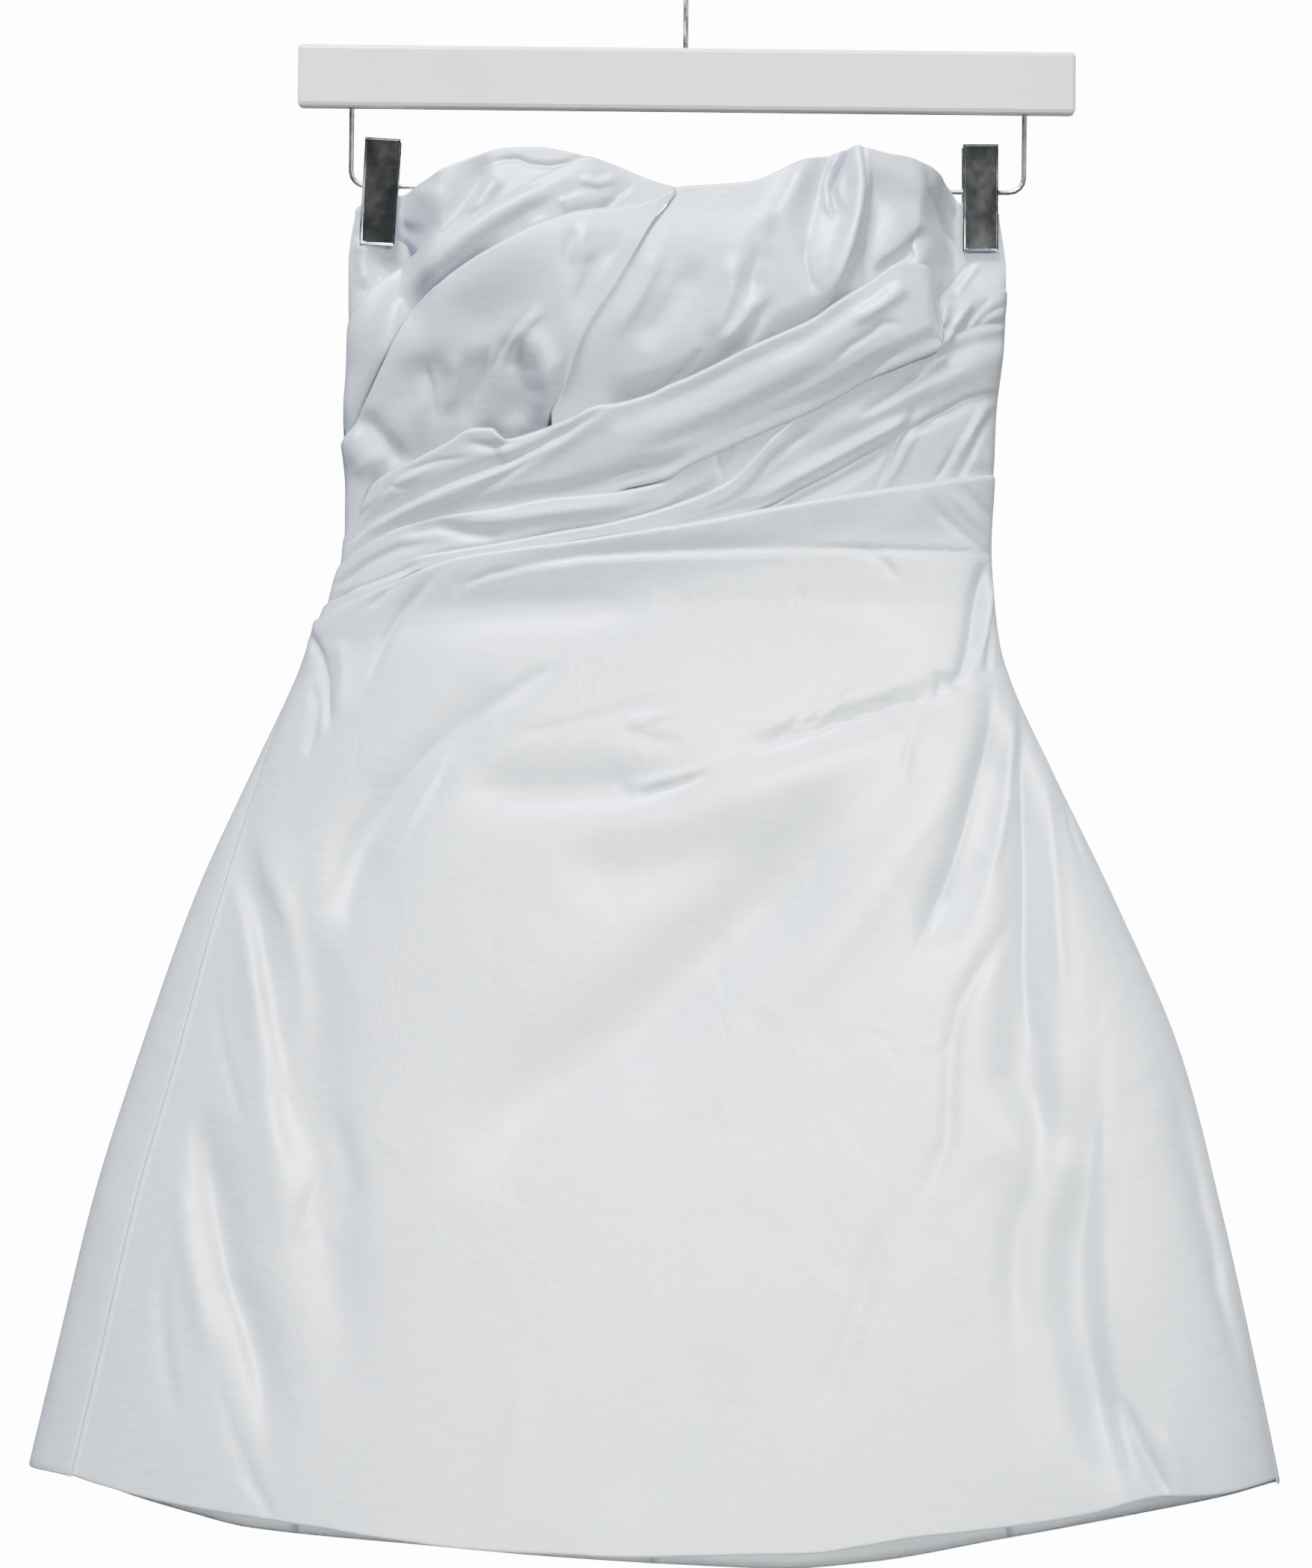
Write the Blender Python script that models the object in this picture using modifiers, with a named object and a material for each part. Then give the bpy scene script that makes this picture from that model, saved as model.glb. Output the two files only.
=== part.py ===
"""Strapless mini dress, draped at the bust, clipped to its hanger. Built at real size.

The tables are in millimetres: across is left to right as worn on the hanger, seen from
the front, and down is measured from the level of the cup tops. The meshes are in metres,
+Z is up, the front faces -Y, and the origin is where the hook rests on its rail.
"""
import math

import bmesh
import bpy
import numpy as np

MM = 0.001

# Cloth and the levels of the garment
CUP_TOPS = 122.0
WALL = 1.2
SEAM_GAP = 0.3
LAP = 6.5
SQUARENESS = 0.86
FORM_COLUMNS = 30
SIDE_CROWDING = 0.4
SIDE_CLEARANCE = 0.3
TURN_STEP = 0.4
DOWN_STEP = 0.8
SKIRT_ROWS = 30
SKIRT_TOP_REACH = 34.0
SKIRT_ROW_CROWDING = 1.22
HALF_CLOTH = 0.5

# Hanger
WIRE_RADIUS = 1.5
FIT = 0.3
BAR_LEFT = -208.0
BAR_RIGHT = 209.5
BAR_TOP = -57.0
BAR_BOTTOM = -23.5
BAR_THICK = 14.0
SOCKET_DEPTH = 12.0
HOOK_ACROSS = 0.0
HOOK_RADIUS = 23.5
HOOK_STRAIGHT_END = -64.0
HOOK_BEND_START = -58.0
HOOK_BEND_PULL = 24.0
HOOK_BEGIN_ANGLE = -40
HOOK_END_ANGLE = 211
HOOK_STEP_ANGLE = 12.5
BAR_EDGE = 2.4
ROD_DOWN = 18.5
ROD_LEFT = -179.0
ROD_RIGHT = 182.4
ROD_BEND = 8.0
CLIP_WIDTH = 19.2
CLIP_TOP = -6.8
CLIP_FOOT = 50.6
CLIP_METAL = 1.1
CLIP_FLANGE = 3.4
CLIP_BITE = 2.1
PRESS_BESIDE = 22.0
PRESS_BELOW = 60.0
BARREL_LENGTH = 13.0
BARREL_RADIUS = 3.3
CLIPS = {
    "columns": ("across", "lean"),
    "rows": [(-163.2, 2.8), (158.9, -0.5)],
}

# The form: the outline from the front and the depth of the front and the back
FORM = {
    "columns": ("down", "left", "right", "front", "back"),
    "rows": [
        (-5, -172.0, 165.0, 27, 14),
        (30, -176.0, 169.0, 36, 16),
        (60, -179.5, 173.0, 44, 18),
        (100, -179.0, 172.0, 47, 19),
        (140, -181.5, 168.0, 40, 19),
        (180, -179.5, 167.0, 32, 18),
        (210, -180.0, 166.5, 28, 18),
        (240, -187.5, 168.5, 28, 20),
        (262, -196.0, 171.5, 32, 22),
        (280, -203.5, 177.0, 35, 25),
        (330, -225.5, 200.5, 42, 30),
        (400, -256.5, 235.0, 46, 34),
        (480, -284.0, 270.0, 48, 36),
        (560, -308.5, 291.5, 50, 38),
        (640, -327.0, 310.0, 52, 40),
        (715, -344.0, 326.0, 54, 42),
        (760, -354.0, 334.0, 55, 43),
    ],
}

# Where the side seams lie in front of the outline
SEAM_SHIFT = {
    "columns": ("down", "left", "right"),
    "rows": [
        (265, 0, 0),
        (300, 1, 0),
        (352, 7, 0),
        (397, 14, 1),
        (526, 23, 3),
        (711, 25, 5),
        (760, 25, 5),
    ],
}

# Cups: their middles on the form
CUPS = {
    "columns": ("across", "down", "wide", "tall", "deep"),
    "rows": [(-86, 62, 52, 48, 7), (84, 66, 50, 48, 7)],
}

# Draped pieces of the front. Rise is how far a piece stands off the form at its top edge,
# between, and at its bottom edge, so that each piece lies over the one above it.
LEFT_CUP = {
    "columns": ("across", "top", "bottom", "rise_top", "rise", "rise_bottom"),
    "rows": [
        (-181, 33, 107, 0, 0, 0),
        (-164, 26, 79, 0, 0, 0),
        (-150, 23.5, 69, 0, 0, 0),
        (-126, 11, 53, 0, 0, 0),
        (-95, 1, 35, 0, 0, 0),
        (-79, 0.5, 26, 0, 0, 0),
        (-63, 3, 17, 0, 0, 0),
        (-54, 5, 12.5, 0, 0, 0),
    ],
}

BUST_PLEAT = {
    "columns": ("across", "top", "bottom", "rise_top", "rise", "rise_bottom"),
    "rows": [
        (-181, 102, 167, 2.6, 1.0, 0),
        (-174, 88, 153, 2.6, 1.0, 0),
        (-164, 73, 136, 2.6, 1.0, 0),
        (-150, 63, 107, 2.6, 1.5, 0),
        (-126, 47, 79, 2.6, 2.0, 0),
        (-110, 38, 67, 2.6, 2.0, 0),
        (-95, 29, 59, 2.6, 2.0, 0),
        (-79, 19.5, 50, 2.6, 1.5, 0),
        (-63, 11, 44, 2.6, 1.0, 0),
        (-52, 6.4, 42, 2.6, 0.8, 0),
        (-40, 9.5, 40, 1.0, 0.4, 0),
        (-28, 14, 38, 0, 0, 0),
        (-18, 18.2, 34, 0, 0, 0),
        (-12, 20, 29, 0, 0, 0),
    ],
}

LEFT_SWATH = {
    "columns": ("across", "top", "bottom", "rise_top", "rise", "rise_bottom"),
    "rows": [
        (-181, 162, 215, 2.6, 1.0, 0),
        (-173, 148, 205, 2.6, 1.0, 0),
        (-165, 132, 186, 2.6, 1.0, 0),
        (-157, 115, 181, 2.6, 0.5, 0),
        (-150, 102, 177, 2.6, 0, 0),
        (-140, 87.5, 172, 2.6, -1, 0),
        (-126, 73.3, 164, 2.6, -3, 0),
        (-110, 62, 157, 2.6, -4, 0),
        (-94, 53, 160, 2.6, -3, 0),
        (-80, 45.5, 157, 2.6, 0, 1.0),
        (-67, 40.5, 148, 2.6, 2.4, 2.6),
        (-59, 37.6, 120, 2.6, 2.6, 2.6),
        (-52, 36.3, 100.5, 2.6, 2.6, 2.6),
        (-38, 34.6, 78.4, 2.6, 2.6, 2.6),
        (-26, 33, 58, 2.6, 2.6, 2.6),
        (-16, 29.4, 41, 2.6, 2.6, 2.6),
        (-10, 26.5, 33, 2.6, 2.6, 2.6),
    ],
}

RIGHT_CUP = {
    "columns": ("across", "top", "bottom", "rise_top", "rise", "rise_bottom"),
    "rows": [
        (-69, 143, 157, 0, 0, 0),
        (-63, 128, 157, 0, 0, 0),
        (-56, 107, 153, 0, 0, 0),
        (-43, 82, 146, 0, 0, 0),
        (-31, 62, 144, 0, 0, 0),
        (-18, 42, 140, 0, 0, 0),
        (-9, 32, 137, 0, 0, 0),
        (-4, 22, 134.5, 0, 0, 0),
        (14, 20.5, 127, 0, 0, 0),
        (35, 18.5, 117, 0, 0, 0),
        (49, 13, 110, 0, 0, 0),
        (65, 5.7, 103, 0, 0, 0),
        (80, 2.4, 97, 0, 0, 0),
        (92, -1.5, 92, 0, 0, 0),
        (98, 0, 91, 0, 0, 0),
        (109, 3, 90, 0, 0, 0),
        (119, 4.5, 89.5, 0, 0, 0),
        (129, 8, 91.5, 0, 0, 0),
        (134, 11.5, 91.5, 0, 0, 0),
        (137.5, 14.1, 86.5, 0, 0, 0),
        (141.5, 17.3, 88, 0, 0, 0),
        (147.5, 24.5, 86, 0, 0, 0),
        (159, 27, 82, 0, 0, 0),
        (173, 30.5, 77, 0, 0, 0),
    ],
}

SASH = {
    "columns": ("across", "top", "bottom", "rise_top", "rise", "rise_bottom"),
    "rows": [
        (-181, 210, 229, 2.6, 1.0, 0),
        (-173, 200, 223, 2.6, 1.0, 0),
        (-163, 180, 217, 2.6, 1.5, 0),
        (-141, 167.5, 207, 2.6, 2.5, 0),
        (-125, 159.3, 202.5, 2.6, 3.0, 0),
        (-110, 151.2, 199, 3.0, 3.5, 0),
        (-101, 151, 198, 4.0, 3.5, 0),
        (-93, 157, 197, 5.4, 3.5, 0),
        (-80, 153.8, 194.5, 5.4, 3.5, 0),
        (-61, 146.7, 191.5, 5.4, 4.0, 0),
        (-43, 138.5, 189, 5.4, 4.5, 0),
        (-36, 138, 185.5, 4.0, 4.5, 0),
        (-30, 136.8, 182.6, 3.2, 4.5, 0),
        (-16, 132.5, 179.2, 3.0, 4.5, 0.6),
        (-7, 128, 176.5, 3.0, 4.5, 1.8),
        (3, 124, 170.3, 3.0, 5.0, 3.0),
        (18.5, 116.6, 162.8, 3.0, 5.5, 3.0),
        (34.4, 108.5, 155.8, 3.0, 6.0, 3.0),
        (50.3, 101.5, 148.4, 3.0, 6.0, 3.0),
        (68, 93.3, 140.6, 3.0, 6.0, 3.0),
        (82, 83.2, 133, 3.0, 6.0, 3.0),
        (98, 73, 123.4, 3.0, 6.0, 3.0),
        (114, 62.8, 115.6, 3.0, 5.5, 3.0),
        (125, 63.1, 111, 3.0, 5.0, 3.0),
        (131, 84, 108.6, 3.0, 4.5, 3.0),
        (135, 99, 106.8, 3.0, 3.5, 3.0),
    ],
}

WAIST_BAND = {
    "columns": ("across", "top", "bottom", "rise_top", "rise", "rise_bottom"),
    "rows": [
        (-181, 224.5, 247, 2.6, 1.5, 0),
        (-165, 211.8, 239, 2.6, 1.5, 0),
        (-149, 203.6, 232, 2.6, 1.5, 0),
        (-125, 197.3, 222.5, 2.6, 1.5, 0),
        (-93, 192.2, 217.5, 2.6, 1.5, 0),
        (-69, 187.6, 211.5, 2.6, 1.5, 0),
        (-49, 185.7, 208.5, 2.6, 1.5, 0),
        (-36, 184.5, 206, 2.6, 1.3, 0),
        (-30, 183.6, 204, 1.8, 1.0, 0),
        (-16, 180.6, 200, 0.8, 0.4, 0),
        (-7, 177.6, 196, 0, 0, 0),
        (3, 169, 192, 0, 0, 0),
        (11, 163, 189, 0, 0, 0),
        (25, 155.5, 182, 0, 0, 0),
        (35, 150.5, 174, 0, 0, 0),
        (44, 147, 164, 0, 0, 0),
    ],
}

SIDE_WRAP = {
    "columns": ("across", "top", "bottom", "rise_top", "rise", "rise_bottom"),
    "rows": [
        (-190, 246, 258, 3.4, 3.4, 3.4),
        (-181, 242, 253.5, 3.2, 3.2, 3.2),
        (-168, 234, 245.5, 2.6, 2.6, 2.6),
        (-152, 227, 238.5, 2.6, 2.6, 2.6),
        (-140, 219.5, 232, 2.6, 2.6, 2.6),
        (-124, 216.5, 226.5, 2.6, 2.6, 2.6),
        (-100, 212.5, 221, 2.6, 2.6, 2.6),
        (-84, 209.5, 219, 2.6, 2.6, 2.6),
        (-61, 204.7, 215.5, 2.6, 2.6, 2.6),
        (-45, 202, 213, 2.6, 2.6, 2.6),
        (-17, 195, 209, 2.6, 2.6, 2.6),
        (11, 185, 204, 2.6, 2.2, 1.6),
        (25, 178, 201, 2.6, 1.5, 0.8),
        (35, 169, 199, 2.6, 1.0, 0),
        (43, 160, 197.5, 2.6, 0.5, 0),
        (50, 152.5, 196, 2.4, 0.2, 0),
        (60, 144, 194, 0, 0, 0),
        (75, 132.5, 191.5, 0, 0, 0),
        (90, 120, 189, 0, 0, 0),
        (106, 108, 186, 0, 0, 0),
        (120, 101, 183.5, 0, 0, 0),
        (131, 97, 182, 0, 0, 0),
        (134, 95.5, 181.5, 0.3, 0, 0),
        (137.5, 83.2, 180.6, 3.4, 0.6, 0),
        (142, 82, 180, 2.6, 0.5, 0),
        (158, 76.5, 177.5, 2.6, 1.0, 0),
        (173, 71, 175.5, 2.6, 1.0, 0),
    ],
}

SKIRT_FRONT = {
    "columns": ("across", "top", "bottom", "rise_top", "rise", "rise_bottom"),
    "rows": [
        (-322, 255, 706, 5.2, 0, 0),
        (-305, 255, 711, 5.2, 0, 0),
        (-262, 255, 721, 5.2, 0, 0),
        (-212, 255, 728, 5.2, 0, 0),
        (-190, 254, 731, 6.0, 0, 0),
        (-181, 248.5, 732, 5.8, 0, 0),
        (-164, 239, 735, 5.2, 0, 0),
        (-148, 232, 737, 5.2, 0, 0),
        (-132, 224.5, 739, 5.2, 0, 0),
        (-116, 219.5, 741, 5.2, 0, 0),
        (-84, 214.3, 743, 5.2, 0, 0),
        (-52, 210, 744, 5.2, 0, 0),
        (-24, 205, 745, 5.2, 0, 0),
        (11, 199, 744, 4.2, 0, 0),
        (43, 192.5, 743, 2.6, 0, 0),
        (75, 186.5, 742, 2.6, 0, 0),
        (101, 182, 738, 2.6, 0, 0),
        (131, 177, 733, 2.6, 0, 0),
        (150, 173.5, 731, 2.6, 0, 0),
        (176, 171, 728, 2.6, 0, 0),
        (221, 171, 721, 2.6, 0, 0),
        (262, 171, 712, 2.6, 0, 0),
        (280, 171, 712, 2.6, 0, 0),
        (325, 171, 704, 2.6, 0, 0),
    ],
}

# Soft folds of the front: depth is how far a ridge stands out, or a trough goes in
FRONT_FOLDS = [
    ("left hip hollow", -9, 16, [(-209, 399), (-196, 439), (-190, 479), (-188, 537), (-173, 567)]),
    ("left hip ridge", 4, 14, [(-223, 330), (-222, 370), (-214, 410), (-212, 454), (-205, 502), (-203, 550)]),
    ("left hem trough", -7, 14, [(-247, 505), (-241, 561), (-232, 608), (-218, 640), (-207, 692)]),
    ("left diagonal", -6, 14, [(-84, 285), (-108, 301), (-139, 331), (-155, 352), (-167, 372), (-171, 424)]),
    ("waist hollow", -4, 16, [(-136, 259), (-84, 251), (-12, 243)]),
    ("hollow under the slash", -7, 16, [(-123, 343), (-83, 343), (-31, 342), (-3, 338)]),
    ("ridge under the slash", 6, 18, [(-75, 365), (-3, 360), (37, 342), (108, 311)]),
    ("long diagonal", -8, 24, [(97, 341), (73, 369), (45, 405), (14, 434), (-22, 470), (-65, 499), (-121, 559)]),
    ("upper branch", -4, 20, [(-67, 391), (-3, 378), (53, 369)]),
    ("right hip trough", -8, 12, [(168, 296), (167, 332), (161, 356), (153, 380), (141, 405), (129, 431)]),
    ("right side trough", -8, 14, [(184, 304), (188, 348), (186, 396), (184, 444), (183, 492), (195, 524), (197, 552)]),
    ("right small trough", -4, 13, [(179, 572), (182, 604), (190, 636)]),
    ("right hem trough", -8, 16, [(218, 532), (212, 576), (212, 620), (223, 660), (238, 712)]),
    ("right edge trough", -4, 12, [(268, 483), (279, 531), (291, 587), (300, 619)]),
    ("right cup fold", 4, 8, [(92, -4), (94, 21), (90, 45), (78, 77), (69, 93)]),
    ("slash", -2, 9, [(165, 283), (145, 290), (107, 303), (63, 317), (48, 323), (20, 331)]),
]

BACK_FOLDS = [
    ("left flute", -8, 26, [(-150, 330), (-186, 480), (-214, 640), (-226, 760)]),
    ("left middle flute", 6, 28, [(-96, 350), (-118, 500), (-136, 640), (-146, 760)]),
    ("middle flute", -7, 30, [(-22, 380), (-38, 520), (-52, 660), (-60, 760)]),
    ("right middle flute", 6, 28, [(70, 360), (84, 500), (98, 640), (104, 760)]),
    ("right flute", -8, 26, [(140, 330), (172, 480), (196, 640), (208, 760)]),
]

BACK_TOP = {
    "columns": ("turn", "down"),
    "rows": [(90, 31), (112, 27), (150, 30), (180, 32), (214, 30), (250, 27), (270, 33)],
}
BACK_HEM = {
    "columns": ("across", "down"),
    "rows": [
        (-345, 712),
        (-300, 725),
        (-226, 741),
        (-124, 751),
        (-60, 756),
        (20, 760),
        (60, 761),
        (107, 757),
        (180, 743),
        (250, 729),
        (327, 711),
    ],
}
SIDE_BACK_SEAM = 31.0


def smooth(share):
    """Ease from 0 to 1."""
    share = np.clip(share, 0.0, 1.0)
    return share * share * (3.0 - 2.0 * share)


def read(table, name, place):
    """Read a named column between its rows, as a smooth curve that doesn't overshoot."""
    rows = np.array(table["rows"], float)
    at = rows[:, 0]
    value = rows[:, table["columns"].index(name)]
    step = np.diff(at)
    rise = np.diff(value) / step
    slope = np.concatenate(([rise[0]], np.zeros(len(at) - 2), [rise[-1]]))
    steady = rise[:-1] * rise[1:] > 0
    pair = rise[:-1][steady] + rise[1:][steady]
    slope[1:-1][steady] = 2.0 * rise[:-1][steady] * rise[1:][steady] / pair
    place = np.clip(place, at[0], at[-1])
    row = np.clip(np.searchsorted(at, place) - 1, 0, len(step) - 1)
    t = (place - at[row]) / step[row]
    start = (1 + 2 * t) * (1 - t) ** 2 * value[row] + t * (1 - t) ** 2 * step[row] * slope[row]
    end = t * t * (3 - 2 * t) * value[row + 1] + t * t * (t - 1) * step[row] * slope[row + 1]
    return start + end


def pinch(across, down):
    """How far the clips press the cloth flat: 1 under a clip, 0 away from it."""
    press = np.zeros(np.shape(across))
    for place, _ in CLIPS["rows"]:
        beside = 1.0 - smooth((np.abs(across - place) - CLIP_WIDTH * 0.65) / PRESS_BESIDE)
        below = 1.0 - smooth((down - CLIP_FOOT - 3.0) / PRESS_BELOW)
        press = np.maximum(press, beside * below)
    return press


def form(turn, down):
    """A point on the bare form. Turn is 0 at the front, 90 at the right side, 180 at the back."""
    turn, down = np.broadcast_arrays(np.asarray(turn, float), np.asarray(down, float))
    left = read(FORM, "left", down)
    right = read(FORM, "right", down)
    sine = np.sin(np.radians(turn))
    cosine = np.cos(np.radians(turn))
    half = (right - left) / 2
    across = (left + right) / 2 + half * np.sign(sine) * np.abs(sine) ** SQUARENESS
    depth = np.where(cosine >= 0, read(FORM, "front", down), read(FORM, "back", down))
    for middle, level, wide, tall, deep in CUPS["rows"]:
        bump = np.exp(-(((across - middle) / wide) ** 2) - ((down - level) / tall) ** 2)
        depth = depth + np.where(cosine >= 0, deep * bump, 0.0)
    forward = -depth * np.sign(cosine) * np.abs(cosine) ** SQUARENESS
    press = pinch(across, down)
    forward = forward * (1 - press) - HALF_CLOTH * press * np.sign(np.round(cosine, 3))
    return np.stack((across, forward, -(down + CUP_TOPS)), axis=-1)


def stand_off(turn, down, out):
    """A point that stands off the form, square to it."""
    across = form(turn + TURN_STEP, down) - form(turn - TURN_STEP, down)
    along = form(turn, down + DOWN_STEP) - form(turn, down - DOWN_STEP)
    normal = np.cross(along, across)
    normal = normal / np.linalg.norm(normal, axis=-1, keepdims=True)
    return form(turn, down) + normal * np.asarray(out)[..., None]


def turn_at(across, down):
    """The turn of a point of the front from its place across."""
    left = read(FORM, "left", down)
    right = read(FORM, "right", down)
    share = (across - (left + right) / 2) / ((right - left) / 2)
    share = np.clip(share, -1.0, 1.0)
    return np.degrees(np.arcsin(np.sign(share) * np.abs(share) ** (1 / SQUARENESS)))


def fold_depth(folds, across, down):
    """The sum of the folds at a point: each is a path with a soft trough or ridge along it."""
    total = np.zeros(np.shape(across))
    for _, deep, wide, path in folds:
        path = np.array(path, float)
        lengths = np.linalg.norm(np.diff(path, axis=0), axis=1)
        travelled = np.concatenate(([0.0], np.cumsum(lengths)))
        nearest = np.full(np.shape(across), 1e9)
        where = np.zeros(np.shape(across))
        for start, end, length, before in zip(path[:-1], path[1:], lengths, travelled):
            run = (end - start) / length
            along = (across - start[0]) * run[0] + (down - start[1]) * run[1]
            along = np.clip(along, 0, length)
            gap = np.hypot(across - start[0] - run[0] * along, down - start[1] - run[1] * along)
            where = np.where(gap < nearest, before + along, where)
            nearest = np.minimum(nearest, gap)
        share = where / travelled[-1]
        fade = smooth(share / 0.25) * smooth((1 - share) / 0.25)
        total += deep * (0.25 + 0.75 * fade) * np.exp(-((nearest / wide) ** 2))
    return total


def edge(table, name, turns):
    """Where an edge of a front piece crosses each column of the form."""
    down = read(table, name, form(turns, 150.0)[..., 0])
    for _ in range(12):
        down = (down + read(table, name, form(turns, down)[..., 0])) / 2
    return down


def form_turns():
    """The shared columns of the form's front, crowded a little towards the sides."""
    even = np.linspace(-1, 1, FORM_COLUMNS + 1)
    return 90 * ((1 - SIDE_CROWDING) * np.arcsin(even) / (math.pi / 2) + SIDE_CROWDING * even)


def seam_turn(down, side):
    """The turn of a side seam, half a seam gap from the true line."""
    shift = read(SEAM_SHIFT, side, down)
    if side == "left":
        return turn_at(read(FORM, "left", down) + shift, down)
    return turn_at(read(FORM, "right", down) - shift, down)


def cloth_material(name, tint):
    """Pale satin: a soft sheen over an ice-blue ground."""
    material = bpy.data.materials.new(name)
    material.use_nodes = True
    shader = material.node_tree.nodes["Principled BSDF"]
    shader.inputs["Base Color"].default_value = (*tint, 1.0)
    shader.inputs["Roughness"].default_value = 0.42
    shader.inputs["Metallic"].default_value = 0.0
    return material


def hard_material(name, colour, roughness, metallic):
    """Painted wood or bright metal."""
    material = bpy.data.materials.new(name)
    material.use_nodes = True
    shader = material.node_tree.nodes["Principled BSDF"]
    shader.inputs["Base Color"].default_value = (*colour, 1.0)
    shader.inputs["Roughness"].default_value = roughness
    shader.inputs["Metallic"].default_value = metallic
    return material


def place_in(collection, thing, material=None):
    """Move an object into a collection and give it its material."""
    for old in list(thing.users_collection):
        old.objects.unlink(thing)
    collection.objects.link(thing)
    if material is not None:
        thing.data.materials.clear()
        thing.data.materials.append(material)


def sheet(name, collection, columns, rows, place, tint=(0.69, 0.73, 0.78)):
    """A cloth wall: a grid laid on the form, thickened outwards."""
    bm = bmesh.new()
    bmesh.ops.create_grid(bm, x_segments=columns, y_segments=rows, size=1.0)
    corners = np.array([vertex.co[:2] for vertex in bm.verts])
    column = np.rint((corners[:, 0] + 1) / 2 * columns).astype(int)
    row = np.rint((1 - corners[:, 1]) / 2 * rows).astype(int)
    for vertex, point in zip(bm.verts, place(column, row)):
        vertex.co = point * MM
    mesh = bpy.data.meshes.new(name)
    bm.to_mesh(mesh)
    bm.free()
    cloth = bpy.data.objects.new(name, mesh)
    place_in(collection, cloth, cloth_material(name + "_satin", tint))
    wall = cloth.modifiers.new("wall", "SOLIDIFY")
    wall.thickness = WALL * MM
    wall.offset = 1.0
    wall.use_even_offset = True
    return cloth


def front_piece(name, collection, table, rows, settle, extra=(), folds=FRONT_FOLDS):
    """A draped piece of the front, between its top and bottom edges."""
    ends = np.array([table["rows"][0][0], table["rows"][-1][0]], float)
    levels = np.array([table["rows"][0][1], table["rows"][-1][1]], float)
    limit = 90 - SIDE_CLEARANCE
    first, last = np.clip(turn_at(ends, levels), -limit, limit)
    wanted = list(form_turns())
    for across in extra:
        level = float(read(table, "top", np.array([across]))[0])
        turn = float(turn_at(np.array([across]), np.array([level]))[0])
        wanted = [old for old in wanted if abs(old - turn) > 1.0] + [turn]
    inside = sorted(turn for turn in wanted if first + 1.2 < turn < last - 1.2)
    turns = np.array([first] + inside + [last])
    top = edge(table, "top", turns)
    bottom = edge(table, "bottom", turns)

    def place(column, row):
        tall = (bottom - top)[column]
        lap = np.minimum(LAP, tall * 0.3)
        even = (row - 1) / (rows - 2)
        below_top = lap + (tall - 2 * lap) * even
        below_top = np.where(row == 0, 0.0, np.where(row == rows, tall, below_top))
        down = top[column] + below_top
        across = form(turns[column], down)[..., 0]
        reach = np.maximum(np.minimum(settle, tall / 2 - lap), 0.1)
        middle = read(table, "rise", across)
        over = read(table, "rise_top", across) - middle
        over = over * (1 - smooth((below_top - lap) / reach))
        under = read(table, "rise_bottom", across) - middle
        under = under * (1 - smooth((tall - below_top - lap) / reach))
        out = middle + over + under + fold_depth(folds, across, down)
        return stand_off(turns[column], down, out)

    return sheet(name, collection, len(turns) - 1, rows, place)


def skirt_front(collection):
    """The front panel from the wrapped waist to the hem, with the slash at the right hip."""
    turns = form_turns()
    share = (turns + 90) / 180
    share[0], share[-1] = 0.0, 1.0

    def turn_of(column, down):
        left = seam_turn(down, "left") + SIDE_CLEARANCE
        right = seam_turn(down, "right") - SIDE_CLEARANCE
        return left + (right - left) * share[column]

    def level(name, column):
        down = np.full(column.shape, 300.0)
        for _ in range(14):
            across = form(turn_of(column, down), down)[..., 0]
            down = (down + read(SKIRT_FRONT, name, across)) / 2
        return down

    def place(column, row):
        top = level("top", column)
        bottom = level("bottom", column)
        below_top = (bottom - top) * (row / SKIRT_ROWS) ** SKIRT_ROW_CROWDING
        down = top + below_top
        turn = turn_of(column, down)
        across = form(turn, down)[..., 0]
        top_across = form(turn_of(column, top), top)[..., 0]
        rise = read(SKIRT_FRONT, "rise_top", top_across) * (1 - smooth(below_top / SKIRT_TOP_REACH))
        return stand_off(turn, down, rise + fold_depth(FRONT_FOLDS, across, down))

    return sheet("skirt_front", collection, len(turns) - 1, SKIRT_ROWS, place)


def back_gore(name, collection, start, end, columns, rows=24):
    """One of the four gores of the back, from the top edge to the hem."""

    def turn_of(column, down):
        limits = []
        for seam in (start, end):
            if seam == "right_side":
                limits.append(seam_turn(down, "right") + SIDE_CLEARANCE)
            elif seam == "left_side":
                limits.append(360 + seam_turn(down, "left") - SIDE_CLEARANCE)
            else:
                gap = math.degrees(SEAM_GAP * 0.5 / 170)
                limits.append(seam + (gap if seam == start else -gap))
        share = column / columns
        return limits[0] + (limits[1] - limits[0]) * share

    def place(column, row):
        reach = np.full(column.shape, 700.0)
        for _ in range(14):
            across = form(turn_of(column, reach), reach)[..., 0]
            reach = (reach + read(BACK_HEM, "down", across)) / 2
        top = read(BACK_TOP, "down", turn_of(column, np.full(column.shape, 40.0)))
        down = top + (reach - top) * row / rows
        turn = turn_of(column, down)
        across = form(turn, down)[..., 0]
        hang = smooth((down - 300) / 120)
        hidden = smooth((turn - 100) / 20) * smooth((260 - turn) / 20)
        return stand_off(turn, down, hang * hidden * fold_depth(BACK_FOLDS, across, down))

    return sheet(name, collection, columns, rows, place, tint=(0.66, 0.70, 0.75))


def level_to_z(down):
    """Height in metres of a level measured down from the cup tops."""
    return -(down + CUP_TOPS) * MM


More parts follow.
